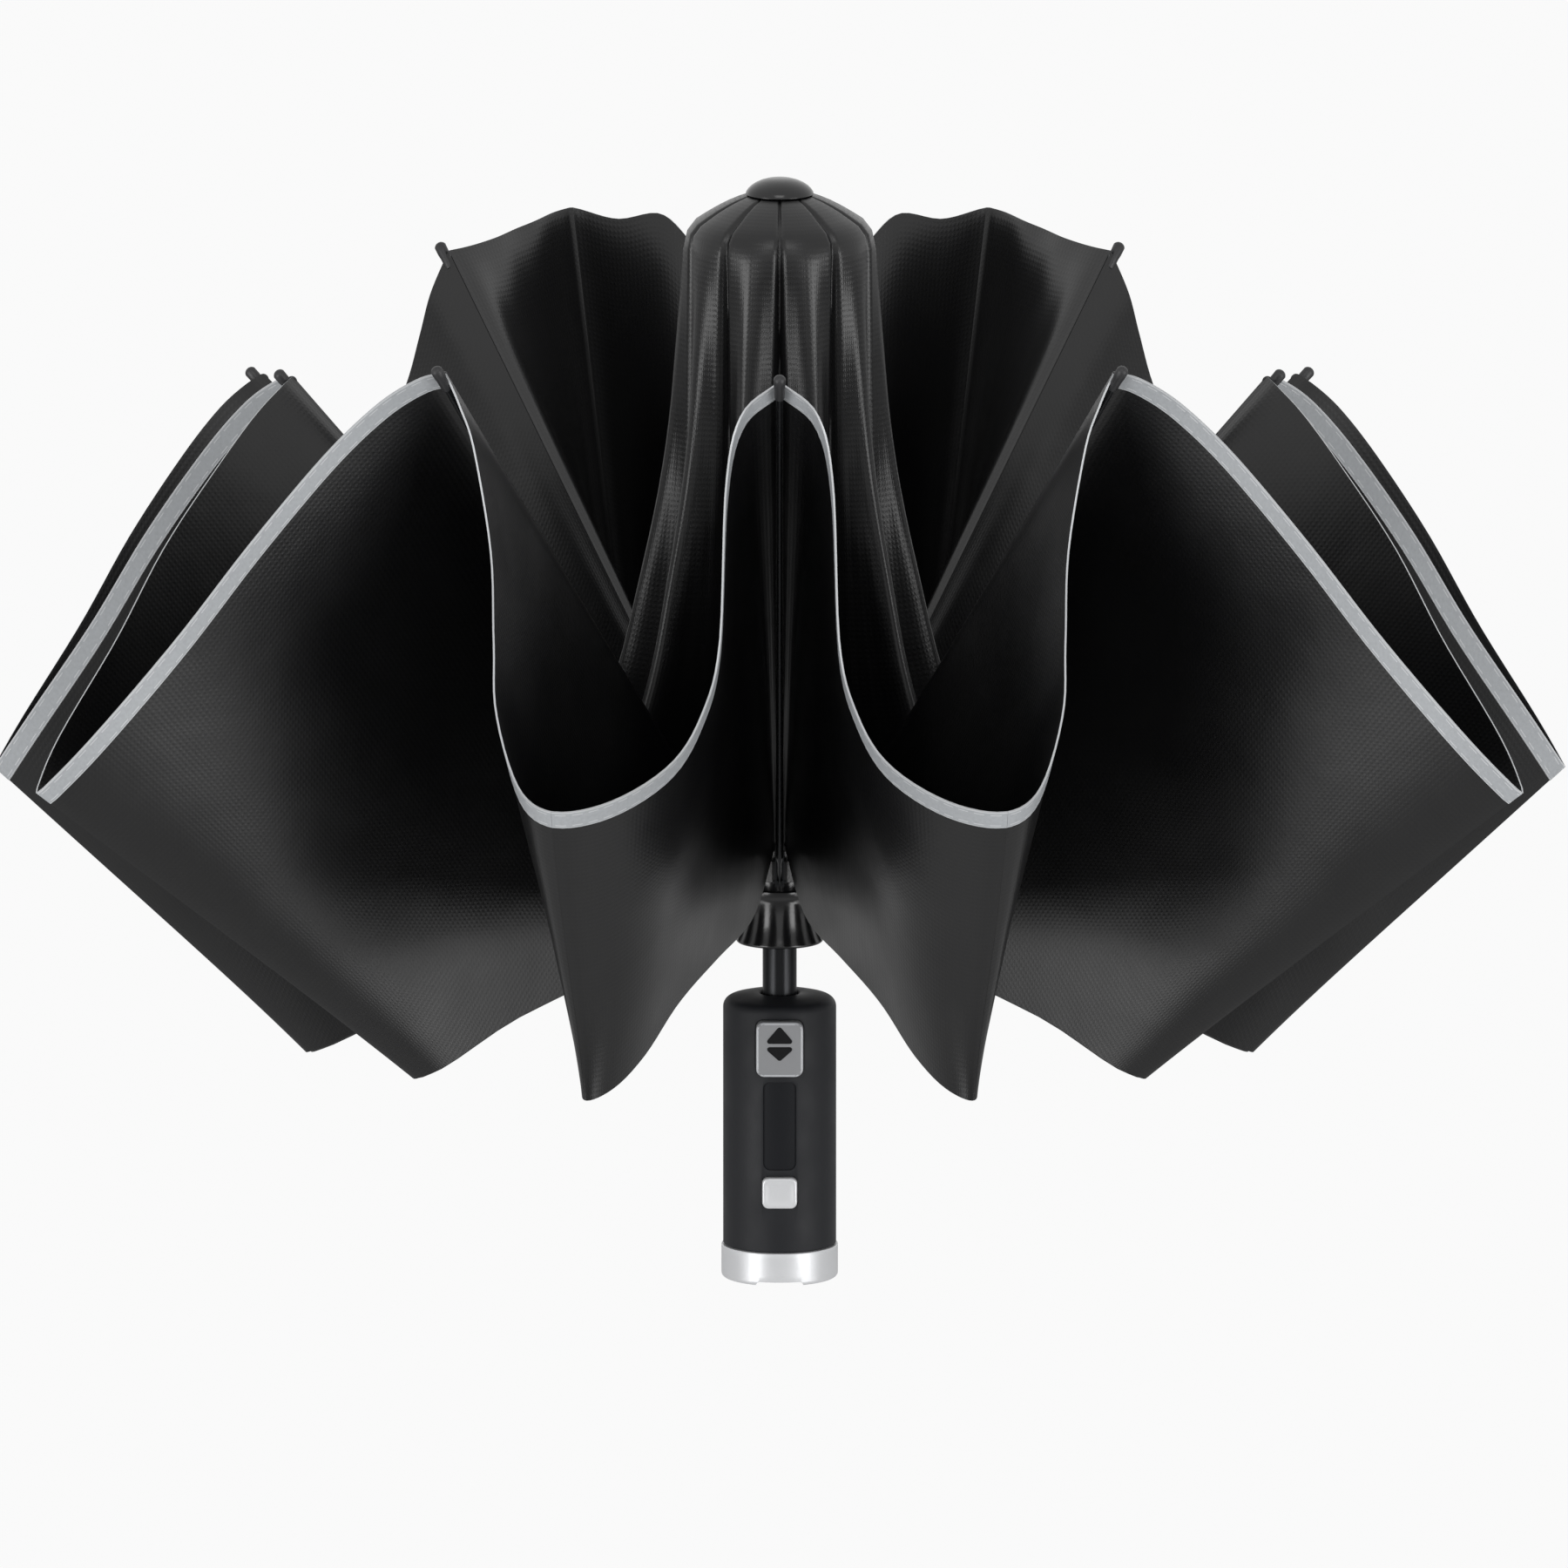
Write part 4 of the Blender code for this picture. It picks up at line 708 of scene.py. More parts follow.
def half_tent(gore, rib, petal):
    """The inner part of a gore beside one rib: down from the ring under the cap over the shoulder and the
    arm to the bottom fold, round it, and a short way up inside the petal that hangs there."""
    azimuth, middle = rib * STEP, (gore + 0.5) * STEP
    foot = rib_place(rib, CLOTH_START, CLOTH_STANDOFF)
    lobe_radius, lobe_height = lobe_of(gore)
    t = np.linspace(0, 1, TENT_COLUMNS + 1)
    fold = np.array(fold_outline(gore, rib))
    stations = np.linspace(0, 1, len(fold))
    share = np.column_stack([np.interp(t, stations, column) for column in fold.T])
    low = np.column_stack([
        share[:, 0], foot[0] + (lobe_radius - TENT_INSET - foot[0]) * share[:, 1],
        foot[1] + (lobe_height - foot[1]) * share[:, 2]])
    high = np.column_stack([
        t, np.full_like(t, TENT_SHOULDER_RADIUS), np.full_like(t, TENT_SHOULDER_HEIGHT)])
    out, up = arm_shares()
    row = low[None] + (high - low)[None] * np.stack([up, out, up], axis=1)[:, None, :]
    # The seam at the rib is drawn in, and the cloth swells out between the seams
    seam = np.exp(-(t / SEAM_SHARE) ** 2)[None, :]
    pinch = (SEAM_PINCH * np.abs(np.sin(math.pi * up))[:, None] ** 0.5 + SHOULDER_PINCH * up[:, None]) * seam
    places = polar(azimuth + (middle - azimuth) * row[..., 0], row[..., 1] - pinch, row[..., 2])
    inset = TENT_INSET * (1 - up)[:, None] * np.sin(math.pi * t)[None, :]
    places -= inset[..., None] * middle_plane_normal(gore, rib)
    # The rows near the fold follow what rounding did to the petal's lower edge
    columns = np.linspace(0, petal.shape[1] - 1, TENT_COLUMNS + 1)
    plain = smooth_outline(fold, (azimuth, *foot), (middle, *lobe_of(gore)), t)
    places += (sampled(petal[0], columns) - plain)[None] * ((1 - up) ** 2)[:, None, None]
    roof = tent_roof(azimuth + (middle - azimuth) * t[None, :], seam)
    lip = tent_lip(petal, columns, middle)
    bottom = (places[-1] + lip[0]) / 2 - np.array([0.0, 0.0, LIP_DROP])
    # The shoulder is rounded: each row near it is the mean (a + 2 b + c) / 4 of itself and its neighbours
    down = np.concatenate([roof, places])
    first, last = len(roof) - 2, len(roof) + 3
    down[first:last] = (down[first - 1:last - 1] + 2 * down[first:last] + down[first + 1:last + 1]) / 4
    return np.concatenate([down, bottom[None], lip])


def sampled(line, columns):
    """Points of a line at fractional places."""
    place = np.arange(len(line))
    return np.column_stack([np.interp(columns, place, line[:, axis]) for axis in range(3)])


def tent_sheet(petals):
    """The inner parts of all ten gores, side by side round the shaft, with the arms' ridges rounded."""
    halves = []
    for gore, petal in enumerate(petals):
        middle = petal.shape[1] // 2
        left = half_tent(gore, gore, petal[:, :middle + 1])
        right = half_tent(gore, gore + 1, petal[:, :middle - 1:-1])
        whole = np.concatenate([left, right[:, ::-1][:, 1:]], axis=1)
        halves.append(rounded_over(whole, TENT_RIDGE)[:, :-1])
    return np.concatenate(halves, axis=1)


def ring_walled(sheet, wall):
    """As walled, for a sheet whose last column joins its first: two skins and a rim at each end."""
    closed = np.concatenate([sheet[:, -1:], sheet, sheet[:, :1]], axis=1)
    normal = sheet_normals(closed)[:, 1:-1]
    rows, columns = sheet.shape[:2]
    count = rows * columns
    points = np.concatenate([sheet + normal * wall / 2, sheet - normal * wall / 2]).reshape(-1, 3)
    quads = faced(ring_faces(rows, columns), points, normal)[0]
    here = np.arange(columns)
    after = (here + 1) % columns
    first = np.stack([after, here, here + count, after + count], axis=1)
    last = first[:, ::-1] + (rows - 1) * columns
    return points, np.concatenate([quads, quads[:, ::-1] + count, first, last])


def turned(profile, segments):
    """A profile of (radius, height) turned about the Z axis: (r sin a, -r cos a, z). Its end joins its
    start."""
    profile = np.array(profile, float)
    angles = np.arange(segments) * 2 * math.pi / segments
    rings = polar(angles[None, :], profile[:, :1], profile[:, 1:])
    return rings.reshape(-1, 3), ring_faces(len(profile), segments, True)


def rounded_corner(centre, radius, start, end, steps):
    """Points round a corner in a profile: centre + radius (cos, sin) between two angles in degrees."""
    angles = np.radians(np.linspace(start, end, steps))
    return [(centre[0] + radius * math.cos(angle), centre[1] + radius * math.sin(angle)) for angle in angles]


def colour_property(name, description, colour):
    return bpy.props.FloatVectorProperty(
        name=name, description=description, subtype="COLOR", size=4, min=0.0, max=1.0, default=linear(colour))


def length_property(name, description, value):
    return bpy.props.FloatProperty(
        name=name, description=description, default=value, min=0.0, unit="LENGTH", subtype="DISTANCE",
        precision=5)


def power_property(name, description, value):
    return bpy.props.FloatProperty(name=name, description=description, default=value, min=0.0, unit="POWER")


class UmbrellaCanopySettings(bpy.types.PropertyGroup):
    """Sizes and colours of the cloth."""

    cloth_wall: length_property("Cloth thickness", "Thickness that the coated cloth is drawn with", 0.0003)
    tape_width: length_property("Tape width", "Width of the reflective tape along the hem", 0.0060)
    tape_raise: length_property("Tape thickness", "How far the tape stands proud of the cloth", 0.00025)
    relief: length_property("Relief", "Height of the soft waves in the hanging cloth", 0.0012)
    give: length_property("Give", "Width of cloth that bends beside a ridge when the ribs swing", 0.036)
    cloth_colour: colour_property("Cloth", "Colour of the coated pongee", "#060607")
    tape_colour: colour_property("Tape", "Colour of the reflective tape", "#a0a3a6")
    thread_colour: colour_property("Thread", "Colour of the tape's selvedge and stitches", "#bcbec0")


class UmbrellaHandleSettings(bpy.types.PropertyGroup):
    """Sizes and colours of the handle."""

    cut_edge: length_property("Window edge", "Rounding of the edges cut into the grip", 0.00022)
    button_edge: length_property("Button edge", "Rounding of the buttons' front edges", 0.0007)
    torch_dish: length_property("Torch button dish", "How far the torch button's face dips", 0.00035)
    main_dish: length_property("Main button dish", "How far the main button's face dips", 0.00025)
    grip_colour: colour_property("Grip", "Colour of the soft-touch lacquer", "#18191c")
    # The strip is coloured darker than the grip: painted shade for the shallow recess
    strip_shade_colour: colour_property("Strip", "Colour of the shallow strip between the buttons", "#141518")
    silver_colour: colour_property("Silver parts", "Colour of the base cap and the torch button", "#c9cacc")
    button_colour: colour_property("Main button", "Colour of the main button's face", "#808183")
    # Lighter grey on the main button's rounded front edge: a painted highlight
    rim_highlight_colour: colour_property("Button rim", "Colour of the main button's polished edge", "#a9abae")
    mark_colour: colour_property("Marks", "Colour of the two triangles", "#0b0b0d")


class UmbrellaFrameSettings(bpy.types.PropertyGroup):
    """Sizes and colours of the shaft and the ribs."""

    rod_radius: length_property("Rib radius", "Radius of the outer ribs' rods", 0.00095)
    tip_radius: length_property("Tip radius", "Radius of the caps on the ribs' ends", 0.0018)
    wire_radius: length_property("Spring wire", "Radius of the push button's spring wire", 0.0003)
    steel_colour: colour_property("Black steel", "Colour of the black chrome on tubes and ribs", "#1a1b1d")
    gloss_colour: colour_property("Gloss black", "Colour of the runner and the crown", "#0b0b0c")
    nylon_colour: colour_property("Nylon", "Colour of the tip caps and the inner mouldings", "#1c1c1e")
    spring_colour: colour_property("Spring steel", "Colour of the bare spring wire", "#a9abae")


class UmbrellaStageSettings(bpy.types.PropertyGroup):
    """Camera and light of the photograph."""

    distance: length_property("Camera distance", "From the camera to the middle of the view", 12.0)
    view_width: length_property("View width", "Width of the view at the shaft", 0.450)
    elevation: bpy.props.FloatProperty(
        name="Camera elevation", description="Angle of the camera above the horizon",
        default=math.radians(11), unit="ROTATION", subtype="ANGLE")
    floor_drop: length_property("Floor drop", "How far the floor lies below the handle", 1.9)
    side_power: power_property("Side lamps", "Power of the lamps at the left and right", 34.0)
    top_power: power_property("Top lamp", "Power of the lamp above", 10.0)
    low_power: power_property("Low lamps", "Power of the lamps below the canopy", 5.0)
    floor_mirrored: bpy.props.FloatProperty(
        name="Floor in reflections", description="How much of the floor's white shows in reflections",
        default=0.12, min=0.0, max=1.0)
    floor_colour: colour_property("Floor", "Colour of the paper floor", "#f4f4f4")


class UMBRELLA_OT_finishes(bpy.types.Operator):
    """Mix the finishes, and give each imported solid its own"""

    bl_idname = "umbrella.finishes"
    bl_label = "Finishes"

    def execute(self, context):
        canopy = context.scene.umbrella_canopy
        handle = context.scene.umbrella_handle
        metal = context.scene.umbrella_frame
        nylon, gloss = tuple(metal.nylon_colour), tuple(metal.gloss_colour)
        palette.update({
            "pongee": make_pongee(tuple(canopy.cloth_colour)),
            "tape": make_tape(tuple(canopy.tape_colour), tuple(canopy.thread_colour)),
            "soft_touch": make_soft_touch("abs_soft_touch_lacquer", tuple(handle.grip_colour), 0.25),
            # Darker than the grip's lacquer: painted shade in the shallow strip's recess
            "strip": make_soft_touch("abs_soft_touch_recess", tuple(handle.strip_shade_colour), 0.15),
            "silver": make_satin("abs_silver_lacquer", tuple(handle.silver_colour), 0.34, 0.25, 0.05),
            "button": make_satin("abs_grey_moulded", tuple(handle.button_colour), 0.42, 0.0, 0.05),
            # The main button's rounded front edge is painted a lighter grey than its face, a painted
            # highlight; its roughness is lower too
            "edge": make_satin("abs_grey_polished_edge", tuple(handle.rim_highlight_colour), 0.3, 0.0, 0.04),
            "print": make_satin("pad_printed_mark", tuple(handle.mark_colour), 0.6, 0.0, 0.04, 0.15),
            "dark_plastic": make_satin("nylon_black_moulded", nylon, 0.5, 0.0, 0.06),
            "gloss_black": make_satin("abs_gloss_black", gloss, 0.2, 0.0, 0.04),
            "black_steel": make_drawn_steel("steel_black_chrome", tuple(metal.steel_colour), 0.28, 0.75),
            "steel": make_drawn_steel("spring_steel_drawn", tuple(metal.spring_colour), 0.3, 1.0),
            "mirror": make_satin("vacuum_plated_mirror", linear("#dfe0e2"), 0.06, 1.0, 0.02),
            "board": make_solder_resist(linear("#0f4a22")),
            "clear": make_clear("polycarbonate_polished"),
            "jacket": make_satin("pvc_shrink_film", linear("#1d1e22"), 0.22, 0.0, 0.04),
        })
        for name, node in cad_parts.items():
            kind = NODE_FINISH.get(name, "black_steel" if "rib" in name or "stretcher" in name else "pongee")
            for slot in node.material_slots:
                slot.material = palette[kind]
        return {"FINISHED"}


def seen_rays(owner, mirrored=1.0):
    """1 for camera and glass rays, a share for mirror rays and 0 for others, so that the surroundings look
    white and light the umbrella only softly."""
    path = add_node(owner, "ShaderNodeLightPath")
    mirror = add_node(owner, "ShaderNodeMath", {
        0: path.outputs["Is Glossy Ray"], 1: mirrored}, operation="MULTIPLY")
    seen = add_node(owner, "ShaderNodeMath", {
        0: path.outputs["Is Camera Ray"], 1: mirror.outputs[0]}, operation="MAXIMUM")
    return add_node(owner, "ShaderNodeMath", {
        0: seen.outputs[0], 1: path.outputs["Is Transmission Ray"]}, operation="MAXIMUM").outputs[0]


def placed(scene, name, data, place, turn):
    """A camera or lamp put into the scene."""
    holder = bpy.data.objects.new(name, data)
    holder.location = place
    holder.rotation_euler = turn
    scene.collection.objects.link(holder)
    return holder


def add_camera(scene, settings):
    """The camera, seen from so far away that the view is nearly without perspective."""
    lean = settings.elevation
    lens = bpy.data.cameras.new("photo_camera")
    lens.sensor_width = SENSOR_WIDTH
    lens.lens = SENSOR_WIDTH * settings.distance / settings.view_width
    lens.clip_start = 0.1
    lens.clip_end = 60.0
    back = np.array([0.0, -math.cos(lean), math.sin(lean)])
    scene.camera = placed(scene, "photo_camera", lens, np.array(VIEW_MIDDLE) + back * settings.distance,
                          (math.pi / 2 - lean, 0.0, 0.0))


def add_lamps(scene, settings):
    for name, (place, size, power) in LAMPS.items():
        lamp = bpy.data.lights.new(name, "AREA")
        lamp.shape = "RECTANGLE"
        lamp.size, lamp.size_y = size
        lamp.energy = getattr(settings, power)
        aim = Vector(LAMP_TARGET) - Vector(place)
        placed(scene, name, lamp, place, aim.to_track_quat("-Z", "Y").to_euler())


def add_surroundings(scene):
    world = bpy.data.worlds.new("white_surroundings")
    world.use_nodes = True
    shown = world.node_tree.nodes["Background"]
    shown.inputs["Color"].default_value = WHITE
    strength = add_node(world, "ShaderNodeMapRange", {
        "Value": seen_rays(world), "To Min": WORLD_LIGHT, "To Max": 1.0})
    world.node_tree.links.new(strength.outputs["Result"], shown.inputs["Strength"])
    scene.world = world


def add_floor(settings):
    """White paper that keeps the umbrella's shadow and looks nearly as white as the surroundings."""
    paper, shader = new_material("white_paper_floor", tuple(settings.floor_colour), 0.9)
    glow = add_node(paper, "ShaderNodeEmission", {"Color": WHITE, "Strength": 1.0})
    share = add_node(paper, "ShaderNodeMath", {
        0: seen_rays(paper, settings.floor_mirrored), 1: FLOOR_GLOW}, operation="MULTIPLY")
    mixed = add_node(paper, "ShaderNodeMixShader", {
        0: share.outputs[0], 1: shader.outputs[0], 2: glow.outputs[0]})
    paper.node_tree.links.new(mixed.outputs[0], paper.node_tree.nodes["Material Output"].inputs["Surface"])
    corners = np.array([(-1, -1, 0), (1, -1, 0), (1, 1, 0), (-1, 1, 0)]) * FLOOR_REACH
    link_mesh("floor", corners - [0, 0, settings.floor_drop], [(0, 1, 2, 3)], [paper])


class UMBRELLA_OT_stage(bpy.types.Operator):
    """Make the floor, the lamps, the white surroundings and the camera"""

    bl_idname = "umbrella.stage"
    bl_label = "Stage"

    def execute(self, context):
        settings = context.scene.umbrella_stage
        add_camera(context.scene, settings)
        add_lamps(context.scene, settings)
        add_surroundings(context.scene)
        add_floor(settings)
        context.scene.view_settings.view_transform = "Standard"
        return {"FINISHED"}


def hang_half(gore, side, half, settings):
    """One half of a gore's outer part, with its tape."""
    width = settings.tape_width
    sheet = along_rows(half, (width, width - TAPE_EDGE, width / 2, TAPE_EDGE, 0.0))
    raised = np.zeros(sheet.shape[:2])
    raised[1 - TAPE_ROWS:] = settings.tape_raise
    points, faces = walled(sheet, settings.cloth_wall, raised, polar((gore + 0.5) * STEP, 1.0, -0.35))
    arc = lengths_up(sheet)
    around = np.concatenate([[0], np.cumsum(np.linalg.norm(np.diff(sheet[-1], axis=0), axis=1))])
    uv = np.stack([np.broadcast_to(around, arc.shape), arc[-1] - arc], axis=-1).reshape(-1, 2)
    # The tape's rows on the outer skin, and the hem's edge
    taped = np.zeros((2, *sheet.shape[:2]), bool)
    taped[0, -TAPE_ROWS:] = True
    taped[1, -1] = True
    piece = link_mesh("canopy_petal_%02d_%s" % (gore, side), points, faces,
                      [palette["pongee"], palette["tape"]], None,
                      taped.ravel()[faces].all(axis=1), np.concatenate([uv, uv]), 50)
    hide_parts("canopy_panel_%02d" % gore)
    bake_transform(piece)


class UMBRELLA_OT_petals(bpy.types.Operator):
    """Hang the outer parts of the ten gores, each in two halves"""

    bl_idname = "umbrella.petals"
    bl_label = "Outer cloth with its hem tape"

    def execute(self, context):
        settings = context.scene.umbrella_canopy
        for gore, whole in enumerate(all_petals(settings.relief)):
            middle = whole.shape[1] // 2
            hang_half(gore, "left", whole[:, :middle + 1], settings)
            hang_half(gore, "right", whole[:, middle:], settings)
        return {"FINISHED"}


class UMBRELLA_OT_tent(bpy.types.Operator):
    """Stretch the inner parts of the gores, from the crown down to the bottom folds"""

    bl_idname = "umbrella.tent"
    bl_label = "Inner cloth"

    def execute(self, context):
        settings = context.scene.umbrella_canopy
        sheet = tent_sheet(all_petals(settings.relief))
        points, faces = ring_walled(sheet, settings.cloth_wall)
        around = np.linalg.norm(np.diff(sheet, axis=1, append=sheet[:, :1]), axis=2)
        arc = lengths_up(sheet)
        across = np.cumsum(around[TENT_ROWS // 2])
        uv = np.stack([np.broadcast_to(across, arc.shape), arc], axis=-1).reshape(-1, 2)
        piece = link_mesh("canopy_tent", points, faces, [palette["pongee"]], "head", None,
                          np.concatenate([uv, uv]), 80)
        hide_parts(*["canopy_panel_%02d" % gore for gore in range(RIBS)])
        return {"FINISHED"}


def rounded_rectangle(width, height, corner, steps=9):
    """Outline (x, z) of a rectangle with round corners: corner centre + r (cos, sin) over a quarter turn."""
    angles = np.radians(np.arange(4)[:, None] * 90 + np.linspace(0, 90, steps)[None, :]).ravel()
    side = np.repeat([(1, 1), (-1, 1), (-1, -1), (1, -1)], steps, axis=0)
    return np.column_stack([
        side[:, 0] * (width / 2 - corner) + corner * np.cos(angles),
        side[:, 1] * (height / 2 - corner) + corner * np.sin(angles)])


def lofted(outline, stations, centre_height):
    """An outline (x, z) carried along Y: at each station (depth, inset) its points are (x, depth, z), drawn
    in by the inset on each axis. Both ends are closed by a face. Returns points and faces."""
    outline = np.array(outline)
    reach = np.abs(outline).max(axis=0)
    rings = []
    for depth, inset in stations:
        drawn = outline * (reach - inset) / reach
        rings.append(np.column_stack([drawn[:, 0], np.full(len(drawn), depth), drawn[:, 1] + centre_height]))
    return np.concatenate(rings), capped(ring_faces(len(stations), len(outline)), len(outline), len(stations))


def tube_along(path, radius, sides):
    """A round bar along a path: rings p + r (cos b N + sin b B), with N and B square to the path's direction.
    The radius may change along it. Both ends are closed by a face."""
    path = np.array(path, float)
    radius = np.broadcast_to(radius, len(path))
    along = np.gradient(path, axis=0)
    along /= np.linalg.norm(along, axis=1)[:, None]
    across = np.cross(along, np.broadcast_to(steady_side(along), along.shape))
    across /= np.linalg.norm(across, axis=1)[:, None]
    third = np.cross(along, across)
    angles = np.arange(sides) * 2 * math.pi / sides
    rings = path[:, None] + radius[:, None, None] * (
        np.cos(angles)[None, :, None] * across[:, None] + np.sin(angles)[None, :, None] * third[:, None])
    return rings.reshape(-1, 3), capped(ring_faces(len(path), sides), sides, len(path))


def steady_side(along):
    """The axis that the path runs along least, to turn its rings about."""
    return np.eye(3)[np.abs(along).sum(axis=0).argmin()]


def joined_shapes(shapes):
    """Several closed shapes as one mesh's points and faces."""
    points, faces, first = [], [], 0
    for shape_points, shape_faces in shapes:
        points.append(np.asarray(shape_points))
        faces += [tuple(int(corner) + first for corner in face) for face in shape_faces]
        first += len(shape_points)
    return np.concatenate(points), faces


def outwards(piece):
    """Turns a closed piece's faces to point outwards."""
    shape = bmesh.new()
    shape.from_mesh(piece.data)
    bmesh.ops.recalc_face_normals(shape, faces=shape.faces)
    shape.to_mesh(piece.data)
    shape.free()


def hard_piece(name, shapes, finish, body, replaced=(), sharp=35):
    """A rigid piece made of closed shapes, its faces outwards."""
    points, faces = joined_shapes(shapes)
    piece = link_mesh(name, points, faces, [palette[finish]], body, sharp=sharp)
    outwards(piece)
    if replaced:
        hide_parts(*replaced)
    return piece


def carve(piece, cutters, bevel):
    """Cuts closed shapes out of a piece and rounds the new edges, then keeps the result as its mesh."""
    helpers = []
    for number, (points, faces) in enumerate(cutters):
        helper = link_mesh("cutter_%d" % number, points, faces, [])
        outwards(helper)
        cut = piece.modifiers.new("cut", "BOOLEAN")
        cut.object = helper
        cut.solver = "EXACT"
        helpers.append(helper)
    edge = piece.modifiers.new("edge", "BEVEL")
    edge.width = bevel
    edge.segments = 2
    edge.limit_method = "ANGLE"
    edge.angle_limit = math.radians(50)
    graph = bpy.context.evaluated_depsgraph_get()
    mesh = bpy.data.meshes.new_from_object(piece.evaluated_get(graph))
    piece.modifiers.clear()
    piece.data = mesh
    for helper in helpers:
        bpy.data.objects.remove(helper)
    mesh.shade_smooth()
    mesh.set_sharp_from_angle(angle=math.radians(30))


def mark_faces(piece, chosen):
    """Gives the piece's last material to the faces whose middles are chosen."""
    count = len(piece.data.polygons)
    middles = np.zeros(count * 3)
    piece.data.polygons.foreach_get("center", middles)
    marks = np.zeros(count, np.int32)
    piece.data.polygons.foreach_get("material_index", marks)
    marks[chosen(middles.reshape(-1, 3))] = len(piece.data.materials) - 1
    piece.data.polygons.foreach_set("material_index", marks)


class UMBRELLA_OT_grip(bpy.types.Operator):
    """Turn the grip, and cut its two windows and the shallow strip between them"""

    bl_idname = "umbrella.grip"
    bl_label = "Grip shell"

    def execute(self, context):
        profile = [(GRIP_BORE, GRIP_BASE), (GRIP_RADIUS - CHAMFER, GRIP_BASE),
                   (GRIP_RADIUS, GRIP_BASE + CHAMFER)]
        profile += [(GRIP_RADIUS, height) for height in np.linspace(0.012, GRIP_TOP - 0.0036, 12)]
        profile += rounded_corner((GRIP_RADIUS - GRIP_ROUND, GRIP_TOP - GRIP_ROUND), GRIP_ROUND, 0, 72, 8)
        # The top is domed, and dips into a collar round the shaft
        radius, height = profile[-1]
        for share in np.linspace(0, 1, 9)[1:]:
            profile.append((radius + (COLLAR_RADIUS - radius) * share,
                            height + GRIP_DOME * math.sin(share * math.pi / 2)))
        profile += rounded_corner((COLLAR_RADIUS - COLLAR_ROUND, GRIP_TOP + COLLAR_RISE), COLLAR_ROUND,
                                  80, 180, 5)
        floor = GRIP_TOP - GRIP_TOP_WALL
        profile += [(SHAFT_BORE + CHAMFER, floor + 0.0003), (SHAFT_BORE, floor), (GRIP_BORE, floor)]
        grip = hard_piece("grip_cover", [turned(profile, 128)], "soft_touch", "handle",
                          ["grip_shell"])
        cutters = []
        for width, height, corner, centre, _ in (TORCH_BUTTON, MAIN_BUTTON):
            window = rounded_rectangle(width + 2 * JOINT_GAP, height + 2 * JOINT_GAP, corner + JOINT_GAP)
            cutters.append(lofted(window, ((IN_FRONT, 0), (-GRIP_BORE / 2, 0)), centre))
        cutters.append(strip_cutter(*STRIP))
        carve(grip, cutters, context.scene.umbrella_handle.cut_edge)
        # The strip's floor takes the darker colour, painted shade for the shallow recess
        grip.data.materials.append(palette["strip"])
        mark_faces(grip, on_strip)
        return {"FINISHED"}


def on_strip(middles):
    """Faces on the strip's floor: inside its outline, at its depth below the grip's skin."""
    width, height, _, centre, depth = STRIP
    radius = np.hypot(middles[:, 0], middles[:, 1])
    inside = (np.abs(middles[:, 0]) < width / 2) & (np.abs(middles[:, 2] - centre) < height / 2)
    return inside & (middles[:, 1] < 0) & (np.abs(radius - GRIP_RADIUS + depth) < depth * 0.4)


def strip_cutter(width, height, corner, centre, depth):
    """A plate that follows the grip: rows across its outline, each point s x at depth
    -sqrt((R - d)^2 - (s x)^2) inside and on a flat plane outside."""
    outline = rounded_rectangle(width, height, corner)
    quarter = len(outline) // 4
    right = np.concatenate([outline[-quarter:], outline[:quarter]])
    across = right[:, :1] * np.linspace(-1, 1, 13)[None, :]
    up = np.broadcast_to(right[:, 1:] + centre, across.shape)
    inner = np.stack([across, -np.sqrt((GRIP_RADIUS - depth) ** 2 - across ** 2), up], axis=-1)
    outer = np.stack([across, np.full_like(across, IN_FRONT), up], axis=-1)
    high, wide = across.shape
    count = high * wide
    quads = grid_faces(high, wide)
    rims = rim_faces(np.arange(count).reshape(high, wide), count)
    points = np.concatenate([inner, outer]).reshape(-1, 3)
    return points, np.concatenate([quads, quads[:, ::-1] + count, rims])


def flange_depth(button):
    """Where a button's flange meets the grip's bore: -sqrt(R^2 - (half its width)^2)."""
    return -math.sqrt((GRIP_BORE - JOINT_GAP) ** 2 - (button[0] / 2 + FLANGE_EDGE) ** 2)


def button_shapes(button, edge, dish):
    """A flange and a cap on it, whose front edge is rounded by a quarter circle and whose face dips by
    dish sin(share of the way in)."""
    width, height, corner, centre, proud = button
    seat, front = flange_depth(button), -GRIP_RADIUS - proud
    flange = rounded_rectangle(width + 2 * FLANGE_EDGE, height + 2 * FLANGE_EDGE, corner + FLANGE_EDGE)
    stations = [(seat + 0.0002, 0), (front + edge + 0.0006, 0)]
    stations += [(front + edge - edge * math.sin(angle), edge - edge * math.cos(angle))
                 for angle in np.radians(np.linspace(0, 90, 6))]
    reach = min(width, height) / 2
    for inset in np.linspace(edge, reach * DISH_RINGS, 9)[1:]:
        share = min(1.0, (inset - edge) / (reach * DISH_REACH))
        stations.append((front + dish * math.sin(share * math.pi / 2), inset))
    return [lofted(flange, ((seat + FLANGE_WALL, 0), (seat, 0)), centre),
            lofted(rounded_rectangle(width, height, corner), stations, centre)]


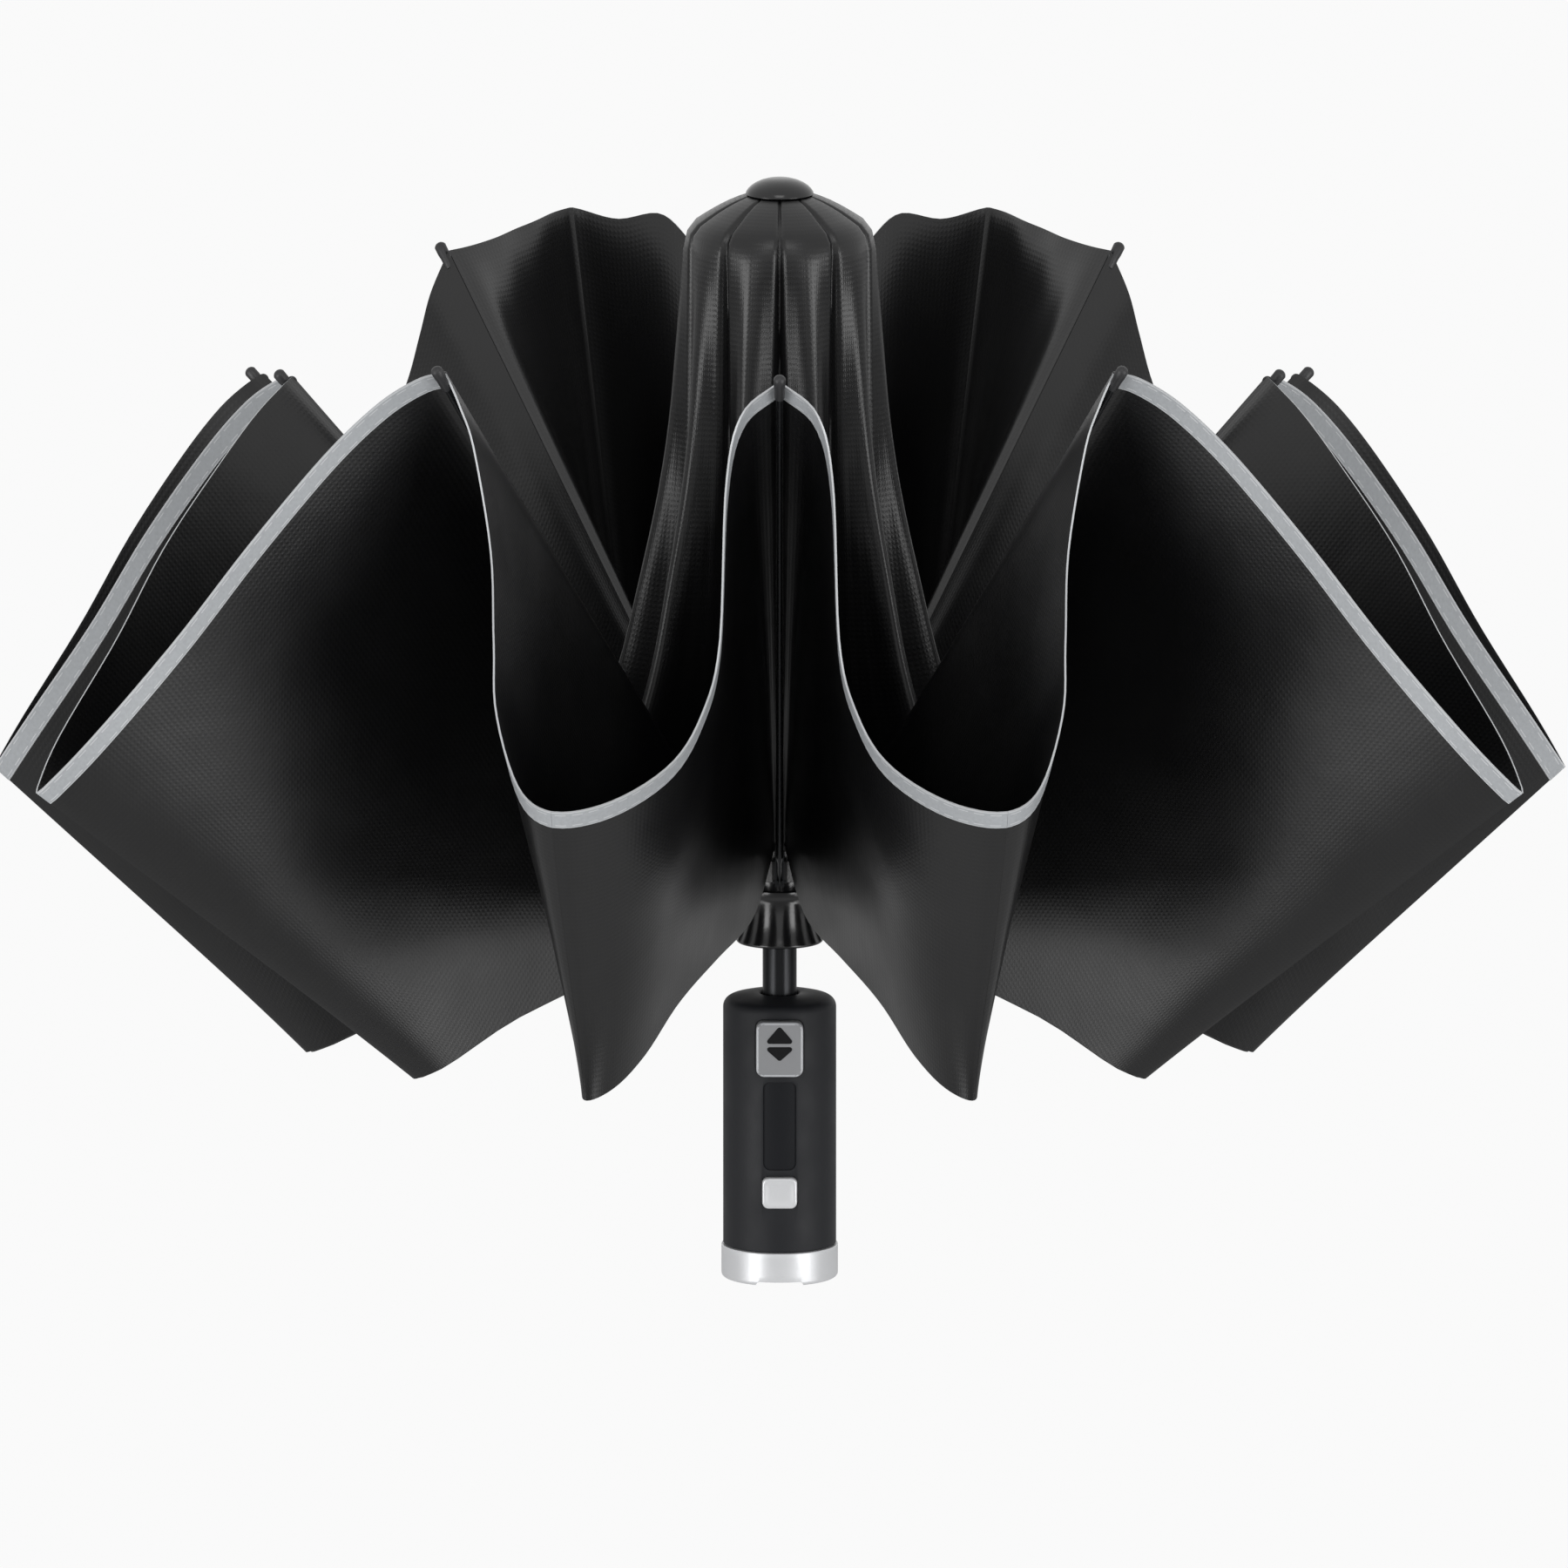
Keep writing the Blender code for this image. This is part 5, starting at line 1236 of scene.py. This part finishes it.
class UMBRELLA_OT_buttons(bpy.types.Operator):
    """Mould the two buttons with their flanges, the triangle marks and the coil spring"""

    bl_idname = "umbrella.buttons"
    bl_label = "Push buttons"

    def execute(self, context):
        handle = context.scene.umbrella_handle
        edge = handle.button_edge
        hard_piece("torch_button_cap", button_shapes(TORCH_BUTTON, edge, handle.torch_dish), "silver",
                   "torch_push", ["torch_button"], 40)
        cap = hard_piece("main_button_cap", button_shapes(MAIN_BUTTON, edge, handle.main_dish), "button",
                         "open_button", ["main_button"], 40)
        # The rounded front edge gets the lighter grey: a painted highlight
        cap.data.materials.append(palette["edge"])
        width, height, _, centre, proud = MAIN_BUTTON
        front = -GRIP_RADIUS - proud

        def on_edge(middles):
            """Faces of the rounded front edge, which take the lighter grey of the painted highlight."""
            past = np.maximum(np.abs(middles[:, 0]) - width / 2, np.abs(middles[:, 2] - centre) - height / 2)
            return (middles[:, 1] < front + edge * 0.95) & (past > -edge * 0.98)

        mark_faces(cap, on_edge)
        # The marks start inside the dished face and stand up to 0.2 mm proud of it
        for name, (rise, way, tall) in MARKS.items():
            outline = rounded_triangle(MARK_WIDTH, tall, MARK_CORNER) * [1, way]
            stations = [(front + depth, inset) for depth, inset in MARK_STATIONS]
            hard_piece(name, [lofted(outline, stations, centre + rise)], "print", "open_button",
                       (), 40)
        # The coil's end turns lie flat against the flange and the shaft
        wire = context.scene.umbrella_frame.wire_radius
        angles = np.linspace(0, COIL_TURNS * 2 * math.pi, 200)
        start = flange_depth(MAIN_BUTTON) + FLANGE_WALL + JOINT_GAP + wire
        end = COIL_END - JOINT_GAP - wire
        along = np.clip((angles / (2 * math.pi) - 0.7) / (COIL_TURNS - 1.4), 0, 1)
        path = np.column_stack([COIL_RADIUS * np.cos(angles), start + (end - start) * along,
                                centre + COIL_RADIUS * np.sin(angles)])
        coil = hard_piece("button_coil", [tube_along(path, wire, 10)], "steel", "handle",
                          ["main_button_spring"], 60)
        tall = end - start + 2 * wire
        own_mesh(coil)
        return {"FINISHED"}


def rounded_triangle(width, height, corner):
    """Outline (x, z) of a triangle with its point up and round corners: corner centres + r (cos, sin)."""
    outline = []
    for x, z, start, end in ((width / 2 - corner * 1.6, -height / 2 + corner, -90, 50),
                             (0.0, height / 2 - corner * 1.3, 50, 130),
                             (-width / 2 + corner * 1.6, -height / 2 + corner, 130, 270)):
        angles = np.radians(np.linspace(start, end, 8))
        outline.append(np.column_stack([x + corner * np.cos(angles), z + corner * np.sin(angles)]))
    return np.concatenate(outline)


class UMBRELLA_OT_base(bpy.types.Operator):
    """Turn the base cap with its notch, and the torch's lens and mirror"""

    bl_idname = "umbrella.base"
    bl_label = "Base cap and torch"

    def execute(self, context):
        spigot = GRIP_BORE - JOINT_GAP
        inside, top = spigot - SPIGOT_WALL, BEZEL_HEIGHT + SPIGOT_HEIGHT
        profile = [(BEZEL_OPENING, BEZEL_EDGE), (BEZEL_RING[0], 0.0), (BEZEL_RING[1], 0.0)]
        profile += rounded_corner((BEZEL_RADIUS - BEZEL_ROUND, BEZEL_ROUND), BEZEL_ROUND, -75, 0, 8)
        profile += [(BEZEL_RADIUS, height) for height in (0.003, 0.0055, 0.0080)]
        profile += rounded_corner((BEZEL_RADIUS - BEZEL_EDGE, BEZEL_HEIGHT - BEZEL_EDGE), BEZEL_EDGE,
                                  0, 90, 4)
        profile += [(spigot, BEZEL_HEIGHT), (spigot, top - BEZEL_EDGE), (spigot - BEZEL_EDGE, top),
                    (inside, top), (inside, BEZEL_SHELF), (BEZEL_OPENING, BEZEL_SHELF)]
        cap = hard_piece("base_cap_cover", [turned(profile, 128)], "silver", "base_cap",
                         ["torch_bezel"])
        notch = lofted(rounded_rectangle(*NOTCH), ((IN_FRONT, 0), (-IN_FRONT, 0)), 0.0)
        carve(cap, [notch], CHAMFER)
        # The lens bulges a little on both sides, by a parabola
        height, radius, bulge = LENS_FRONT
        lens = [(0.0, height)]
        lens += [(radius * share, height + bulge * share ** 2) for share in (0.25, 0.5, 0.75, 1)]
        lens += LENS_RIM
        height, radius, bulge = LENS_BACK
        lens += [(radius * share, height - bulge * (1 - share ** 2)) for share in (0.95, 0.7, 0.4, 0.0)]
        hard_piece("lens_disc", [turned_solid(lens, 96)], "clear", "base_cap", ["torch_lens"])
        mirror = [*mirror_side(MIRROR_FRONT, np.linspace(0, 1, 15)), *MIRROR_RIM,
                  *mirror_side(MIRROR_BACK, np.linspace(0.86, 0.0, 12))]
        hard_piece("torch_mirror", [turned(mirror, 96)], "mirror", "handle",
                   ["torch_reflector"])
        return {"FINISHED"}


def mirror_side(start, shares):
    """Points down one side of the mirror, a parabola: its radius grows by the root of the way down."""
    return [(start[0] + MIRROR_WIDENS * math.sqrt(share), start[1] - MIRROR_FALLS * share)
            for share in shares]


def turned_solid(profile, segments):
    """A profile of (radius, height) that starts and ends on the axis, turned about it. The two ends on the
    axis are single points, joined to their rings by triangles."""
    profile = np.array(profile, float)
    angles = np.arange(segments) * 2 * math.pi / segments
    rings = polar(angles[None, :], profile[1:-1, :1], profile[1:-1, 1:])
    count = rings.shape[0] * segments
    points = np.concatenate([rings.reshape(-1, 3), [(0, 0, profile[0, 1]), (0, 0, profile[-1, 1])]])
    here = np.arange(segments)
    after = (here + 1) % segments
    last = count - segments
    first_fan = np.stack([np.full(segments, count), after, here], axis=1)
    last_fan = np.stack([np.full(segments, count + 1), here + last, after + last], axis=1)
    return points, [*ring_faces(len(rings), segments), *first_fan, *last_fan]


class UMBRELLA_OT_shaft(bpy.types.Operator):
    """Draw the outer tube, and turn the runner's bell and neck and the crown's cap"""

    bl_idname = "umbrella.shaft"
    bl_label = "Shaft, runner and crown"

    def execute(self, context):
        hard_piece("outer_tube_drawn", [turned(TUBE_PROFILE, 72)], "black_steel", "handle",
                   ["outer_tube"])
        bell = [(BELL_BORE, BELL_FOOT), (BELL_RADIUS, BELL_FOOT)]
        bell += rounded_corner((BELL_RADIUS - 0.0002, BELL_FOOT + BELL_ROUND), BELL_ROUND, -60, 30, 5)
        for share in np.linspace(0, 1, 14)[1:]:
            bell.append((SKIRT_RADIUS + SKIRT_FLARE * (1 - share) ** SKIRT_POWER,
                         BELL_FOOT + SKIRT_START + SKIRT_HEIGHT * share))
        bell += [(radius, BELL_FOOT + height) for radius, height in NECK_PROFILE]
        hard_piece("runner_skirt", [turned(bell, 96)], "gloss_black", "head",
                   ["runner_bell"])
        hard_piece("crown_button", [turned_solid(CROWN_PROFILE, 96)], "gloss_black", "head",
                   ["crown_cap"], 50)
        return {"FINISHED"}


def rib_shapes(rib, rod, tip):
    """(rod, tip cap, eye, joint pin) of an outer rib. The tip cap is a thimble over the rod's end, with a
    round nose."""
    azimuth = rib * STEP
    length, lean = rib_size(rib)[2:]
    direction = polar(azimuth, math.sin(lean), math.cos(lean))
    inwards = polar(azimuth, -math.cos(lean), math.sin(lean))
    start = polar(azimuth, JOINT_RADIUS, JOINT_HEIGHT)

    def along_rib(places, radii, sides):
        return tube_along(start + np.asarray(places)[:, None] * direction, radii, sides)

    bar = along_rib([*ROD_PLACES[:-1], length - ROD_PLACES[-1]], rod * np.array(ROD_SHARES), 12)
    nose = np.linspace(0, math.pi / 2, 6)[1:]
    cap = along_rib(np.append(length - np.array(TIP_PLACES), length - TIP_NOSE + TIP_NOSE * np.sin(nose)),
                    tip * np.append(TIP_SHARES, np.cos(nose) + 0.01), 16)
    turn = np.linspace(0, math.pi, 9)[:, None]
    middle = start + (length - EYE_PLACE) * direction + inwards * EYE_STANDOFF
    eye = tube_along(middle + EYE_RADIUS * (np.cos(turn) * direction + np.sin(turn) * inwards), EYE_WIRE, 8)
    sideways = np.cross(direction, inwards)
    pin = tube_along(start + np.array(PIN_PLACES)[:, None] * sideways, PIN_RADII, 12)
    return bar, cap, eye, pin


class UMBRELLA_OT_ribs(bpy.types.Operator):
    """Draw the ten outer ribs, each with its joint pin, its tip cap and the cap's eye"""

    bl_idname = "umbrella.ribs"
    bl_label = "Outer ribs and tip caps"

    def execute(self, context):
        settings = context.scene.umbrella_frame
        for rib in range(RIBS):
            bar, cap, eye, pin = rib_shapes(rib, settings.rod_radius, settings.tip_radius)
            body = "rib_%02d" % rib
            hard_piece("rib_rod_%02d" % rib, [bar], "black_steel", body,
                       ["outer_rib_%02d" % rib], 40)
            hard_piece("rib_tip_%02d" % rib, [cap, eye], "dark_plastic", body, (), 50)
            hard_piece("joint_pin_%02d" % rib, [pin], "black_steel", "head", (), 40)
        return {"FINISHED"}


class UMBRELLA_PT_sidebar(bpy.types.Panel):
    """Sizes, colours and pieces of the umbrella"""

    bl_idname = "UMBRELLA_PT_sidebar"
    bl_label = "Umbrella"
    bl_space_type = "VIEW_3D"
    bl_region_type = "UI"
    bl_category = "Umbrella"

    def draw(self, context):
        for scene_key in GROUPS:
            group = getattr(context.scene, scene_key)
            for key in group.bl_rna.properties.keys():
                if key not in ("rna_type", "name"):
                    self.layout.prop(group, key)
        for operator in OPERATORS:
            self.layout.operator(operator.bl_idname)


OPERATORS = (UMBRELLA_OT_stage, UMBRELLA_OT_finishes, UMBRELLA_OT_petals, UMBRELLA_OT_tent, UMBRELLA_OT_grip,
             UMBRELLA_OT_buttons, UMBRELLA_OT_base, UMBRELLA_OT_shaft, UMBRELLA_OT_ribs)
GROUPS = {"umbrella_canopy": UmbrellaCanopySettings, "umbrella_handle": UmbrellaHandleSettings,
          "umbrella_frame": UmbrellaFrameSettings, "umbrella_stage": UmbrellaStageSettings}
# Finishes by name, filled by the operator that mixes them
palette = {}

NODE_FINISH = {
    "grip_shell": "soft_touch", "torch_bezel": "silver", "torch_lens": "clear", "torch_reflector": "mirror",
    "led_board": "board", "battery": "jacket", "battery_holder": "dark_plastic", "torch_switch": "board",
    "torch_button": "silver", "main_button": "button", "main_button_spring": "steel",
    "shaft_socket": "dark_plastic", "outer_tube": "black_steel", "middle_tube": "black_steel",
    "inner_tube": "black_steel", "runner": "gloss_black", "runner_bell": "gloss_black",
    "crown_wheel": "gloss_black", "crown_cap": "gloss_black",
}


def register():
    for made in (*GROUPS.values(), *OPERATORS, UMBRELLA_PT_sidebar):
        bpy.utils.register_class(made)
    for key, group in GROUPS.items():
        setattr(bpy.types.Scene, key, bpy.props.PointerProperty(type=group))


def unregister():
    for key in GROUPS:
        delattr(bpy.types.Scene, key)
    for made in reversed((*GROUPS.values(), *OPERATORS, UMBRELLA_PT_sidebar)):
        bpy.utils.unregister_class(made)


def main():
    register()
    for operator in OPERATORS:
        getattr(bpy.ops.umbrella, operator.bl_idname.split(".")[1])()


if __name__ == "__main__":
    main()
